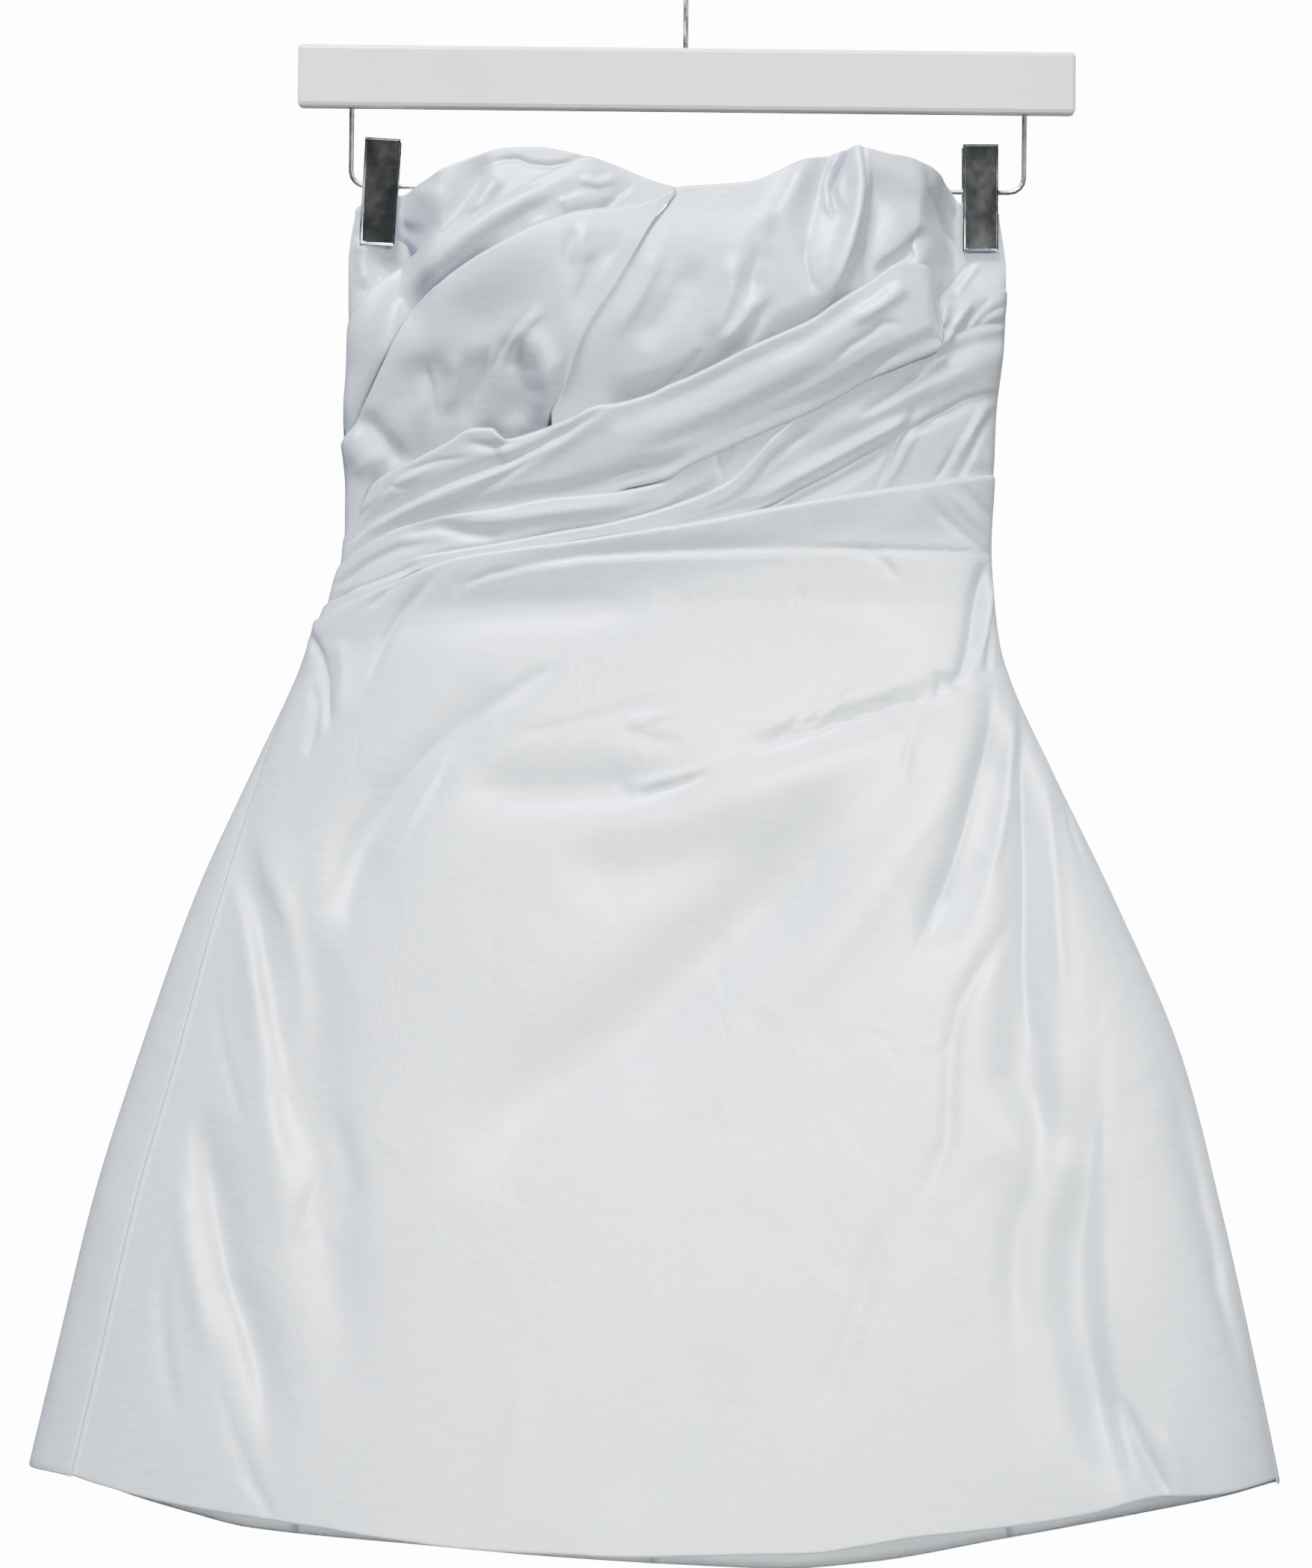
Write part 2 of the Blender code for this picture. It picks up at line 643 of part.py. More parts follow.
def wire(name, collection, points, material):
    """A bent wire of round section along points in metres."""
    curve = bpy.data.curves.new(name, "CURVE")
    curve.dimensions = "3D"
    curve.bevel_depth = WIRE_RADIUS * MM
    curve.bevel_resolution = 2
    curve.use_fill_caps = True
    spline = curve.splines.new("POLY")
    spline.points.add(len(points) - 1)
    for spot, point in zip(spline.points, points):
        spot.co = (*point, 1.0)
    thing = bpy.data.objects.new(name, curve)
    place_in(collection, thing, material)
    return thing


def hook_points():
    """The hook in the plane square to the bar: shank, bend and round head."""
    middle = WIRE_RADIUS - HOOK_RADIUS
    start = np.array([0.0, HOOK_BEND_START])
    begin_angle = math.radians(HOOK_BEGIN_ANGLE)
    join = np.array([HOOK_RADIUS * math.cos(begin_angle), middle + HOOK_RADIUS * math.sin(begin_angle)])
    heading = np.array([-math.sin(begin_angle), math.cos(begin_angle)])
    foot = -(BAR_TOP + CUP_TOPS) - SOCKET_DEPTH + FIT
    points = [(0.0, foot), (0.0, HOOK_STRAIGHT_END)]
    for t in np.linspace(0, 1, 7)[:-1]:
        blend = (1 + 2 * t) * (1 - t) ** 2 * start + t * t * (3 - 2 * t) * join
        pull = t * (1 - t) ** 2 * np.array([0.0, 1.0]) + t * t * (t - 1) * heading
        points.append(tuple(blend + pull * HOOK_BEND_PULL))
    for angle in np.radians(np.arange(HOOK_BEGIN_ANGLE, HOOK_END_ANGLE, HOOK_STEP_ANGLE)):
        points.append((HOOK_RADIUS * math.cos(angle), middle + HOOK_RADIUS * math.sin(angle)))
    return [(HOOK_ACROSS * MM, y * MM, z * MM) for y, z in points]


def rod_points():
    """The rod below the bar: down, round a bend, across, and up again."""
    into_bar = BAR_BOTTOM - SOCKET_DEPTH + FIT
    points = [(ROD_LEFT, into_bar), (ROD_LEFT, ROD_DOWN - ROD_BEND)]
    for angle in np.radians((22.5, 45, 67.5)):
        run = ROD_BEND * (1 - math.cos(angle))
        points.append((ROD_LEFT + run, ROD_DOWN - ROD_BEND + ROD_BEND * math.sin(angle)))
    points.append((ROD_LEFT + ROD_BEND, ROD_DOWN))
    mirrored = [(ROD_LEFT + ROD_RIGHT - across, down) for across, down in points]
    points += list(reversed(mirrored))
    return [(across * MM, 0.0, level_to_z(down)) for across, down in points]


def socket_cutter(name, collection, across, level):
    """A round hole that takes a wire's end in the bar."""
    bpy.ops.mesh.primitive_cylinder_add(
        vertices=16,
        radius=(WIRE_RADIUS + FIT) * MM,
        depth=2 * SOCKET_DEPTH * MM,
        location=(across * MM, 0.0, level_to_z(level)),
    )
    cutter = bpy.context.object
    cutter.name = name
    cutter.hide_render = True
    cutter.display_type = "WIRE"
    place_in(collection, cutter)
    return cutter


def hanger(collection, cutters):
    """The painted bar with its wire hook, and the clip rod below it."""
    chrome = hard_material("hanger_chrome", (0.62, 0.63, 0.65), 0.12, 1.0)
    painted = hard_material("bar_paint", (0.80, 0.77, 0.72), 0.45, 0.0)
    bpy.ops.mesh.primitive_cube_add(size=1.0)
    bar = bpy.context.object
    bar.name = "hanger_bar"
    length = (BAR_RIGHT - BAR_LEFT) * MM
    tall = (BAR_BOTTOM - BAR_TOP) * MM
    for vertex in bar.data.vertices:
        vertex.co.x *= length
        vertex.co.y *= BAR_THICK * MM
        vertex.co.z *= tall
    bar.location = ((BAR_LEFT + BAR_RIGHT) / 2 * MM, 0.0, level_to_z((BAR_TOP + BAR_BOTTOM) / 2))
    place_in(collection, bar, painted)
    edges = bar.modifiers.new("edges", "BEVEL")
    edges.width = BAR_EDGE * MM
    edges.segments = 2
    holes = (
        ("hook_socket", HOOK_ACROSS, BAR_TOP),
        ("left_rod_socket", ROD_LEFT, BAR_BOTTOM),
        ("right_rod_socket", ROD_RIGHT, BAR_BOTTOM),
    )
    for name, across, level in holes:
        cut = bar.modifiers.new(name, "BOOLEAN")
        cut.object = socket_cutter(name, cutters, across, level)
        cut.operation = "DIFFERENCE"
    wire("hanger_hook", collection, hook_points(), chrome.copy())
    wire("clip_rod", collection, rod_points(), chrome.copy())


def clip_plate(name, collection, across, lean, side):
    """One jaw of a clip: a pressed channel whose flanges turn away from the cloth."""
    half = CLIP_WIDTH / 2
    outline = [
        (-half, 0.0),
        (half, 0.0),
        (half, -CLIP_FLANGE),
        (half - CLIP_METAL, -CLIP_FLANGE),
        (half - CLIP_METAL, -CLIP_METAL),
        (CLIP_METAL - half, -CLIP_METAL),
        (CLIP_METAL - half, -CLIP_FLANGE),
        (-half, -CLIP_FLANGE),
    ]
    curve = bpy.data.curves.new(name, "CURVE")
    curve.dimensions = "2D"
    curve.fill_mode = "BOTH"
    curve.extrude = (CLIP_FOOT - CLIP_TOP) / 2 * MM
    spline = curve.splines.new("POLY")
    spline.points.add(len(outline) - 1)
    spline.use_cyclic_u = True
    for spot, (x, y) in zip(spline.points, outline):
        spot.co = (x * MM, y * side * MM, 0.0, 1.0)
    plate = bpy.data.objects.new(name, curve)
    chrome = hard_material(name + "_chrome", (0.62, 0.63, 0.65), 0.10, 1.0)
    place_in(collection, plate, chrome)
    open_angle = math.asin((BARREL_RADIUS + FIT + 0.1 - CLIP_BITE) / (CLIP_FOOT - ROD_DOWN))
    middle = (CLIP_TOP + CLIP_FOOT) / 2
    outward = CLIP_BITE + (CLIP_FOOT - middle) * math.sin(open_angle)
    plate.rotation_mode = "YXZ"
    plate.rotation_euler = (side * open_angle, math.radians(lean), 0.0)
    plate.location = (across * MM, -side * outward * MM, level_to_z(middle))
    return plate


def clip_barrel(name, collection, across):
    """The spring barrel of a clip, a turned sleeve on the rod."""
    bm = bmesh.new()
    inner = (WIRE_RADIUS + FIT) * MM
    outer = BARREL_RADIUS * MM
    half = BARREL_LENGTH / 2 * MM
    profile = [(-half, 0, outer), (half, 0, outer), (half, 0, inner), (-half, 0, inner)]
    ring = [bm.verts.new(point) for point in profile]
    rim = [bm.edges.new((ring[i], ring[(i + 1) % 4])) for i in range(4)]
    bmesh.ops.spin(
        bm,
        geom=ring + rim,
        cent=(0, 0, 0),
        axis=(1, 0, 0),
        angle=math.tau,
        steps=16,
        use_merge=True,
    )
    bmesh.ops.recalc_face_normals(bm, faces=bm.faces)
    mesh = bpy.data.meshes.new(name)
    bm.to_mesh(mesh)
    bm.free()
    barrel = bpy.data.objects.new(name, mesh)
    barrel.location = (across * MM, 0.0, level_to_z(ROD_DOWN))
    place_in(collection, barrel, hard_material(name + "_steel", (0.55, 0.56, 0.58), 0.25, 1.0))
    return barrel


def build():
    """Build every piece of the dress and its hanger."""
    for old in list(bpy.data.objects):
        bpy.data.objects.remove(old, do_unlink=True)
    pieces = bpy.data.collections.new("mini_dress_on_hanger")
    cutters = bpy.data.collections.new("cutters")
    bpy.context.scene.collection.children.link(pieces)
    bpy.context.scene.collection.children.link(cutters)
    front_piece("left_cup", pieces, LEFT_CUP, 7, 12.0, extra=(-176, -151))
    front_piece("bust_pleat", pieces, BUST_PLEAT, 6, 12.0, extra=(-52,))
    front_piece("left_swath", pieces, LEFT_SWATH, 9, 14.0, extra=(-94, -67))
    front_piece("right_cup", pieces, RIGHT_CUP, 9, 12.0, extra=(92, 134, 137.5, 146.5, 171.5))
    front_piece("sash", pieces, SASH, 6, 10.0, extra=(-94, -43, 125))
    front_piece("waist_band", pieces, WAIST_BAND, 5, 8.0)
    front_piece("side_wrap", pieces, SIDE_WRAP, 6, 8.0, extra=(134, 137.5))
    skirt_front(pieces)
    back_gore("back_side_right", pieces, "right_side", 180 - SIDE_BACK_SEAM, 7)
    back_gore("back_centre_right", pieces, 180 - SIDE_BACK_SEAM, 180.0, 4)
    back_gore("back_centre_left", pieces, 180.0, 180 + SIDE_BACK_SEAM, 4)
    back_gore("back_side_left", pieces, 180 + SIDE_BACK_SEAM, "left_side", 7)
    hanger(pieces, cutters)
    for label, (across, lean) in zip(("left", "right"), CLIPS["rows"]):
        clip_plate(f"{label}_clip_front", pieces, across, lean, 1)
        clip_plate(f"{label}_clip_back", pieces, across, lean, -1)
        clip_barrel(f"{label}_clip_barrel", pieces, across)


build()
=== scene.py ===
"""The look of a strapless satin mini dress on its clip hanger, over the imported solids.

Places on the cloth are in millimetres: across is left to right from the front, and down is
measured from the level of the cup tops. Rise and depth are how far the cloth stands off the
garment's form. MM turns them to metres.
"""
import math

import bmesh
import bpy
import numpy as np
from mathutils import Euler, Matrix, Vector


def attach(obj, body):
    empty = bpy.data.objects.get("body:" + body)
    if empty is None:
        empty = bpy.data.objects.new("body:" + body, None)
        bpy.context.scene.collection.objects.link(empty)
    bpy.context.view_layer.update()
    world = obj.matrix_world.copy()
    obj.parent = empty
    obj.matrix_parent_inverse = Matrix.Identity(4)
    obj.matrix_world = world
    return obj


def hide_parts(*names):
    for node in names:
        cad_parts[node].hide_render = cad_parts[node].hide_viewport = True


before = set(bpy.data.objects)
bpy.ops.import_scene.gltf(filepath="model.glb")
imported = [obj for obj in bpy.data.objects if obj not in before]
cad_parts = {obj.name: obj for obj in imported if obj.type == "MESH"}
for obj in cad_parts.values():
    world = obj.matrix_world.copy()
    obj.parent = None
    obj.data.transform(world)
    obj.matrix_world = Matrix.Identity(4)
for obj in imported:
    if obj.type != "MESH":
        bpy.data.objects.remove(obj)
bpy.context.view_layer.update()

MM = 0.001

# The camera stands three metres away, a little below the middle of the dress, and leans by
# about half a degree, so that the bar slopes down to the right as it does in the photo.
CAMERA_AWAY = 3.0
CAMERA_LEVEL = -0.540
AIM = Vector((-0.0118, 0.0, -0.4602))
PICTURE_TALL = 0.840
SENSOR_TALL = 36.0
CAMERA_LEAN = math.radians(0.6)

camera_data = bpy.data.cameras.new("camera")
camera = bpy.data.objects.new("camera", camera_data)
bpy.context.scene.collection.objects.link(camera)
camera.location = (AIM.x, -CAMERA_AWAY, CAMERA_LEVEL)
sight = AIM - camera.location
camera.rotation_mode = "QUATERNION"
camera.rotation_quaternion = sight.to_track_quat("-Z", "Y")
camera.rotation_quaternion.rotate(Matrix.Rotation(-CAMERA_LEAN, 3, sight))
camera_data.sensor_fit = "VERTICAL"
camera_data.sensor_height = SENSOR_TALL
camera_data.lens = SENSOR_TALL * sight.length / PICTURE_TALL
bpy.context.scene.camera = camera


def linear(hex_colour):
    """An sRGB hex colour as linear RGBA."""
    values = [int(hex_colour[i : i + 2], 16) / 255 for i in (1, 3, 5)]
    return (*(v / 12.92 if v <= 0.04045 else ((v + 0.055) / 1.055) ** 2.4 for v in values), 1.0)


def set_node(tree, node, settings=(), links=()):
    """Give a node its settings, and link sockets of earlier nodes to its inputs."""
    for name, value in dict(settings).items():
        if isinstance(name, int) or name in node.inputs:
            node.inputs[name].default_value = value
        else:
            setattr(node, name, value)
    for name, source in dict(links).items():
        tree.links.new(source, node.inputs[name])
    return node


def add_node(tree, kind, settings=(), links=()):
    """Add a node with its settings and links."""
    return set_node(tree, tree.nodes.new(kind), settings, links)


def new_material(name):
    """A material, its node tree and its shader."""
    material = bpy.data.materials.new(name)
    material.use_nodes = True
    return material, material.node_tree, material.node_tree.nodes["Principled BSDF"]


# Plain soft studio light: a large softbox high at the front left, weak ones at the right and
# low in front, one high behind for the back, and a pale room that is brightest above.
FLOOR_LEVEL = -2.7
FLOOR_WIDE = 7.0
FLOOR_HEX = "#a8a8a6"
FLOOR_ROUGHNESS = 0.8
ROOM_HEX = "#f4f7fa"
ROOM_BELOW = 0.03
ROOM_ABOVE = 0.23
ROOM_DIM_BELOW = -0.3
ROOM_FULL_ABOVE = 0.8
BACKGROUND_HEX = "#ffffff"
BACKGROUND_STRENGTH = 14.0
# name, place, point aimed at, width, power, spread in degrees, colour
SOFTBOXES = (
    ("key softbox", (-0.75, -1.75, 2.7), (0.0, 0.0, -0.55), 1.1, 430.0, 180.0, "#f2f5ff"),
    ("fill softbox", (1.8, -2.6, 0.2), (0.0, 0.0, -0.55), 1.6, 4.5, 180.0, "#f2f8ff"),
    ("skirt softbox", (1.1, -2.9, 0.35), (0.0, 0.0, -0.62), 0.5, 3.7, 17.0, "#fffdf2"),
    ("hem softbox", (0.1, -2.3, -1.5), (0.0, 0.0, -0.88), 0.5, 1.0, 22.0, "#fffdf2"),
    ("back softbox", (0.6, 2.4, 1.6), (0.0, 0.0, -0.5), 1.6, 90.0, 180.0, "#f6f8ff"),
)

for name, place, aimed_at, wide, power, spread, tint in SOFTBOXES:
    light_data = bpy.data.lights.new(name, "AREA")
    light_data.shape = "SQUARE"
    light_data.size = wide
    light_data.energy = power
    light_data.spread = math.radians(spread)
    light_data.color = linear(tint)[:3]
    light = bpy.data.objects.new(name, light_data)
    light.location = place
    light.rotation_mode = "QUATERNION"
    light.rotation_quaternion = (Vector(aimed_at) - Vector(place)).to_track_quat("-Z", "Y")
    bpy.context.scene.collection.objects.link(light)

room = bpy.data.worlds.new("pale studio")
bpy.context.scene.world = room
room.use_nodes = True
room_tree = room.node_tree
room_tree.nodes.clear()
ray = add_node(room_tree, "ShaderNodeLightPath").outputs["Is Camera Ray"]
backdrop = add_node(
    room_tree, "ShaderNodeBackground", {"Color": linear(BACKGROUND_HEX), "Strength": BACKGROUND_STRENGTH}
)
towards = add_node(room_tree, "ShaderNodeTexCoord").outputs["Generated"]
height = add_node(room_tree, "ShaderNodeSeparateXYZ", links={0: towards}).outputs["Z"]
above = add_node(
    room_tree,
    "ShaderNodeMapRange",
    {
        "interpolation_type": "SMOOTHSTEP",
        "From Min": ROOM_DIM_BELOW,
        "From Max": ROOM_FULL_ABOVE,
        "To Min": ROOM_BELOW,
        "To Max": ROOM_ABOVE,
    },
    {"Value": height},
).outputs["Result"]
glow = add_node(room_tree, "ShaderNodeBackground", {"Color": linear(ROOM_HEX)}, {"Strength": above})
seen = add_node(room_tree, "ShaderNodeMixShader", links={0: ray, 1: glow.outputs[0], 2: backdrop.outputs[0]})
add_node(room_tree, "ShaderNodeOutputWorld", links={"Surface": seen.outputs[0]})

floor_mesh = bmesh.new()
bmesh.ops.create_grid(floor_mesh, x_segments=1, y_segments=1, size=FLOOR_WIDE / 2)
bmesh.ops.translate(floor_mesh, verts=floor_mesh.verts, vec=(0.0, 0.0, FLOOR_LEVEL))
floor_data = bpy.data.meshes.new("studio_floor")
floor_mesh.to_mesh(floor_data)
floor_mesh.free()
floor = bpy.data.objects.new("studio_floor", floor_data)
bpy.context.scene.collection.objects.link(floor)
floor_finish, floor_tree, floor_shader = new_material("pale painted floor")
set_node(floor_tree, floor_shader, {"Base Color": linear(FLOOR_HEX), "Roughness": FLOOR_ROUGHNESS})
floor_data.materials.append(floor_finish)


# Satin-faced taffeta, pale ice blue with a silver white face: filament warp gives the soft
# sheen, and uneven slub threads in the weft draw fine lines across it. The slubs are 14 mm long
# and drawn 0.9 mm tall, coarse enough to show.
SATIN_HEX = "#bac3cf"
SATIN_SLUB_HEX = "#cad1da"
SATIN_SHADE_HEX = "#afb8c8"
SATIN_SHEEN_HEX = "#eef2f8"
SATIN_SMOOTH = 0.44
SATIN_ROUGH = 0.56
SLUB_LONG = 14.0
SLUB_TALL = 0.9
THREAD_LONG = 3.6
THREAD_TALL = 0.45
WEAVE_DEEP = 0.12
CRUMPLE_DEEP = 3.0

# Crumples and faint shading, to a metre of cloth
CRUMPLES = (26.0, 26.0, 18.0)
SHADINGS = 9.0


def toned(hex_colour, tone):
    """An sRGB hex colour as linear RGBA, made brighter or darker."""
    return (*(value * tone for value in linear(hex_colour)[:3]), 1.0)


def satin(name, tone=1.0):
    """Satin-faced taffeta, with slubs and finer threads in the weft and soft crumples."""
    material, tree, shader = new_material(name)
    place = add_node(tree, "ShaderNodeTexCoord").outputs["Object"]
    metre = 1 / MM
    slubs = (metre / SLUB_LONG, metre / SLUB_LONG, metre / SLUB_TALL)
    threads = (metre / THREAD_LONG, metre / THREAD_LONG, metre / THREAD_TALL)
    noises = {}
    for pattern, scale, kind in (
        ("slub", slubs, {"Detail": 3.0, "Roughness": 0.6}),
        ("thread", threads, {"Detail": 2.0}),
        ("crumple", CRUMPLES, {"Detail": 3.0, "Distortion": 0.8}),
        ("shading", (SHADINGS, SHADINGS, SHADINGS), {"Detail": 2.0}),
    ):
        scaled = add_node(tree, "ShaderNodeMapping", {"Scale": scale}, {"Vector": place}).outputs[0]
        noise = add_node(tree, "ShaderNodeTexNoise", {"Scale": 1.0, **kind}, {"Vector": scaled})
        noises[pattern] = noise.outputs["Fac"]

    tint = add_node(tree, "ShaderNodeValToRGB", links={"Fac": noises["slub"]})
    ground, bright = tint.color_ramp.elements
    ground.position = 0.36
    ground.color = toned(SATIN_HEX, tone)
    bright.position = 0.66
    bright.color = toned(SATIN_SLUB_HEX, tone)
    depth = add_node(
        tree,
        "ShaderNodeMapRange",
        {"From Min": 0.35, "From Max": 0.7, "To Max": 0.35},
        {"Value": noises["shading"]},
    )
    colour = add_node(
        tree,
        "ShaderNodeMix",
        {"data_type": "RGBA", 7: toned(SATIN_SHADE_HEX, tone)},
        {0: depth.outputs["Result"], 6: tint.outputs["Color"]},
    )
    gloss = add_node(
        tree, "ShaderNodeMapRange", {"To Min": SATIN_SMOOTH, "To Max": SATIN_ROUGH}, {"Value": noises["slub"]}
    )
    weave = add_node(
        tree, "ShaderNodeMath", {"operation": "ADD"}, {0: noises["slub"], 1: noises["thread"]}
    ).outputs[0]
    soft = add_node(
        tree,
        "ShaderNodeBump",
        {"Strength": 0.5, "Distance": CRUMPLE_DEEP * MM},
        {"Height": noises["crumple"]},
    ).outputs["Normal"]
    woven = add_node(
        tree,
        "ShaderNodeBump",
        {"Strength": 0.16, "Distance": WEAVE_DEEP * MM},
        {"Height": weave, "Normal": soft},
    )
    around = add_node(tree, "ShaderNodeTangent", {"direction_type": "RADIAL", "axis": "Z"})
    set_node(
        tree,
        shader,
        {
            "Specular IOR Level": 0.8,
            "IOR": 1.5,
            "Anisotropic": 0.4,
            "Metallic": 0.22,
            "Sheen Weight": 0.12,
            "Sheen Roughness": 0.4,
            "Sheen Tint": linear(SATIN_SHEEN_HEX),
        },
        {
            "Base Color": colour.outputs[2],
            "Roughness": gloss.outputs["Result"],
            "Normal": woven.outputs["Normal"],
            "Tangent": around.outputs[0],
        },
    )
    return material


# The left cup: the flat upper part of the left bust, turned in along the neckline. It opens
# with the form that every piece of cloth lies on, with its cups, the clips' pinch and its folds,
# and with the functions that lay a grid of cloth on that form.
CUP_TOPS = 122.0
SQUARENESS = 0.86
SLOPE_TURN = 0.4
SLOPE_DOWN = 0.8

# The cloth's wall, how far it lies off the form, and how far its edges roll in
CLOTH = 0.5
LIFT = 0.6
ROLL = 1.9
THIN_ROLL = 1.0
HEM_ROLL = 0.9

# The clips, and how far around them they press the cloth flat
CLIP_WIDE = 19.2
CLIP_FOOT = 50.6
CLIP_PLACES = (-163.2, 158.9)
PRESS_SHARE = 0.65
PRESS_UNDER = 3.0
PRESS_BESIDE = 22.0
PRESS_BELOW = 60.0
PRESSED_DEPTH = 0.5

# How far a fold reaches, in its own widths, and how it fades towards its ends
FOLD_REACH = 3.2
FOLD_FADE = 0.28
FOLD_ENDS = 0.08

# The side seams: how the cloth sinks into them, and how folds and rises fade towards them
SEAM_SINK = 0.6
SEAM_REACH = 2.2
SEAM_EASE = 14.0
SEAM_RISE = 0.3
LEFT_SEAM_FROM = -170.0
RIGHT_SEAM_FROM = 160.0

# The grid of a draped piece, which is finest at its edges
FRONT_ENDS = 89.7
COLUMN_WIDE = 1.1
EVEN_TURNS = 0.45
EDGE_ROWS = np.array([0.3, 0.8, 1.5, 2.4, 3.6])
EDGE_ROWS_SHARE = 0.12
EDGE_FROM = 150.0
EDGE_ROUNDS = 14

# How a drape laps over its neighbour, and how far it runs on under the next
LAP = 6.5
LAP_SHARE = 0.3
LAP_UNDER = 6.0
LAP_SUNK = 4.0

# down, left edge, right edge, depth of the front, depth of the back
FORM = np.array([
    (-5, -172.0, 165.0, 27, 14),
    (30, -176.0, 169.0, 36, 16),
    (60, -179.5, 173.0, 44, 18),
    (100, -179.0, 172.0, 47, 19),
    (140, -181.5, 168.0, 40, 19),
    (180, -179.5, 167.0, 32, 18),
    (210, -180.0, 166.5, 28, 18),
    (240, -187.5, 168.5, 28, 20),
    (262, -196.0, 171.5, 32, 22),
    (280, -203.5, 177.0, 35, 25),
    (330, -225.5, 200.5, 42, 30),
    (400, -256.5, 235.0, 46, 34),
    (480, -284.0, 270.0, 48, 36),
    (560, -308.5, 291.5, 50, 38),
    (640, -327.0, 310.0, 52, 40),
    (715, -344.0, 326.0, 54, 42),
    (760, -354.0, 334.0, 55, 43),
])
FORM_LEFT, FORM_RIGHT, FORM_FRONT, FORM_BACK = 1, 2, 3, 4

# middle across, middle down, half width, half height, depth
CUPS = ((-86, 62, 52, 48, 7), (84, 66, 50, 48, 7))


def ease(share):
    """Ease from 0 to 1."""
    share = np.clip(share, 0.0, 1.0)
    return share * share * (3.0 - 2.0 * share)


def read(rows, column, place):
    """Read a column between its rows, as a smooth curve that doesn't overshoot."""
    at = rows[:, 0]
    value = rows[:, column]
    step = np.diff(at)
    rise = np.diff(value) / step
    slope = np.concatenate(([rise[0]], np.zeros(len(at) - 2), [rise[-1]]))
    steady = rise[:-1] * rise[1:] > 0
    slope[1:-1][steady] = 2.0 * (rise[:-1] * rise[1:])[steady] / (rise[:-1] + rise[1:])[steady]
    place = np.clip(place, at[0], at[-1])
    row = np.clip(np.searchsorted(at, place) - 1, 0, len(step) - 1)
    t = (place - at[row]) / step[row]
    start = (1 + 2 * t) * (1 - t) ** 2 * value[row] + t * (1 - t) ** 2 * step[row] * slope[row]
    end = t * t * (3 - 2 * t) * value[row + 1] + t * t * (t - 1) * step[row] * slope[row + 1]
    return start + end


def pinch(across, down):
    """How far the clips press the cloth flat: 1 under a clip, 0 away from it."""
    press = np.zeros(np.shape(across))
    for place in CLIP_PLACES:
        beside = 1.0 - ease((np.abs(across - place) - CLIP_WIDE * PRESS_SHARE) / PRESS_BESIDE)
        below = 1.0 - ease((down - CLIP_FOOT - PRESS_UNDER) / PRESS_BELOW)
        press = np.maximum(press, beside * below)
    return press


def form(turn, down):
    """A point of the form: turn is 0 in front, 90 at the right side and 180 at the back."""
    turn, down = np.broadcast_arrays(np.asarray(turn, float), np.asarray(down, float))
    left = read(FORM, FORM_LEFT, down)
    right = read(FORM, FORM_RIGHT, down)
    sine = np.sin(np.radians(turn))
    cosine = np.cos(np.radians(turn))
    across = (left + right) / 2 + (right - left) / 2 * np.sign(sine) * np.abs(sine) ** SQUARENESS
    depth = np.where(cosine >= 0, read(FORM, FORM_FRONT, down), read(FORM, FORM_BACK, down))
    for middle, level, wide, tall, deep in CUPS:
        bump = np.exp(-(((across - middle) / wide) ** 2) - ((down - level) / tall) ** 2)
        depth = depth + np.where(cosine >= 0, deep * bump, 0.0)
    forward = -depth * np.sign(cosine) * np.abs(cosine) ** SQUARENESS
    press = pinch(across, down)
    forward = forward * (1 - press) - PRESSED_DEPTH * press * np.sign(np.round(cosine, 3))
    return np.stack((across, forward, -(down + CUP_TOPS)), axis=-1)


def stand_off(turn, down, out):
    """A point that stands off the form, square to it."""
    across = form(turn + SLOPE_TURN, down) - form(turn - SLOPE_TURN, down)
    along = form(turn, down + SLOPE_DOWN) - form(turn, down - SLOPE_DOWN)
    normal = np.cross(along, across)
    normal = normal / np.linalg.norm(normal, axis=-1, keepdims=True)
    return form(turn, down) + normal * np.asarray(out)[..., None]


def turn_at(across, down):
    """The turn of a point of the front from its place across."""
    left = read(FORM, FORM_LEFT, down)
    right = read(FORM, FORM_RIGHT, down)
    share = np.clip((across - (left + right) / 2) / ((right - left) / 2), -1.0, 1.0)
    return np.degrees(np.arcsin(np.sign(share) * np.abs(share) ** (1 / SQUARENESS)))


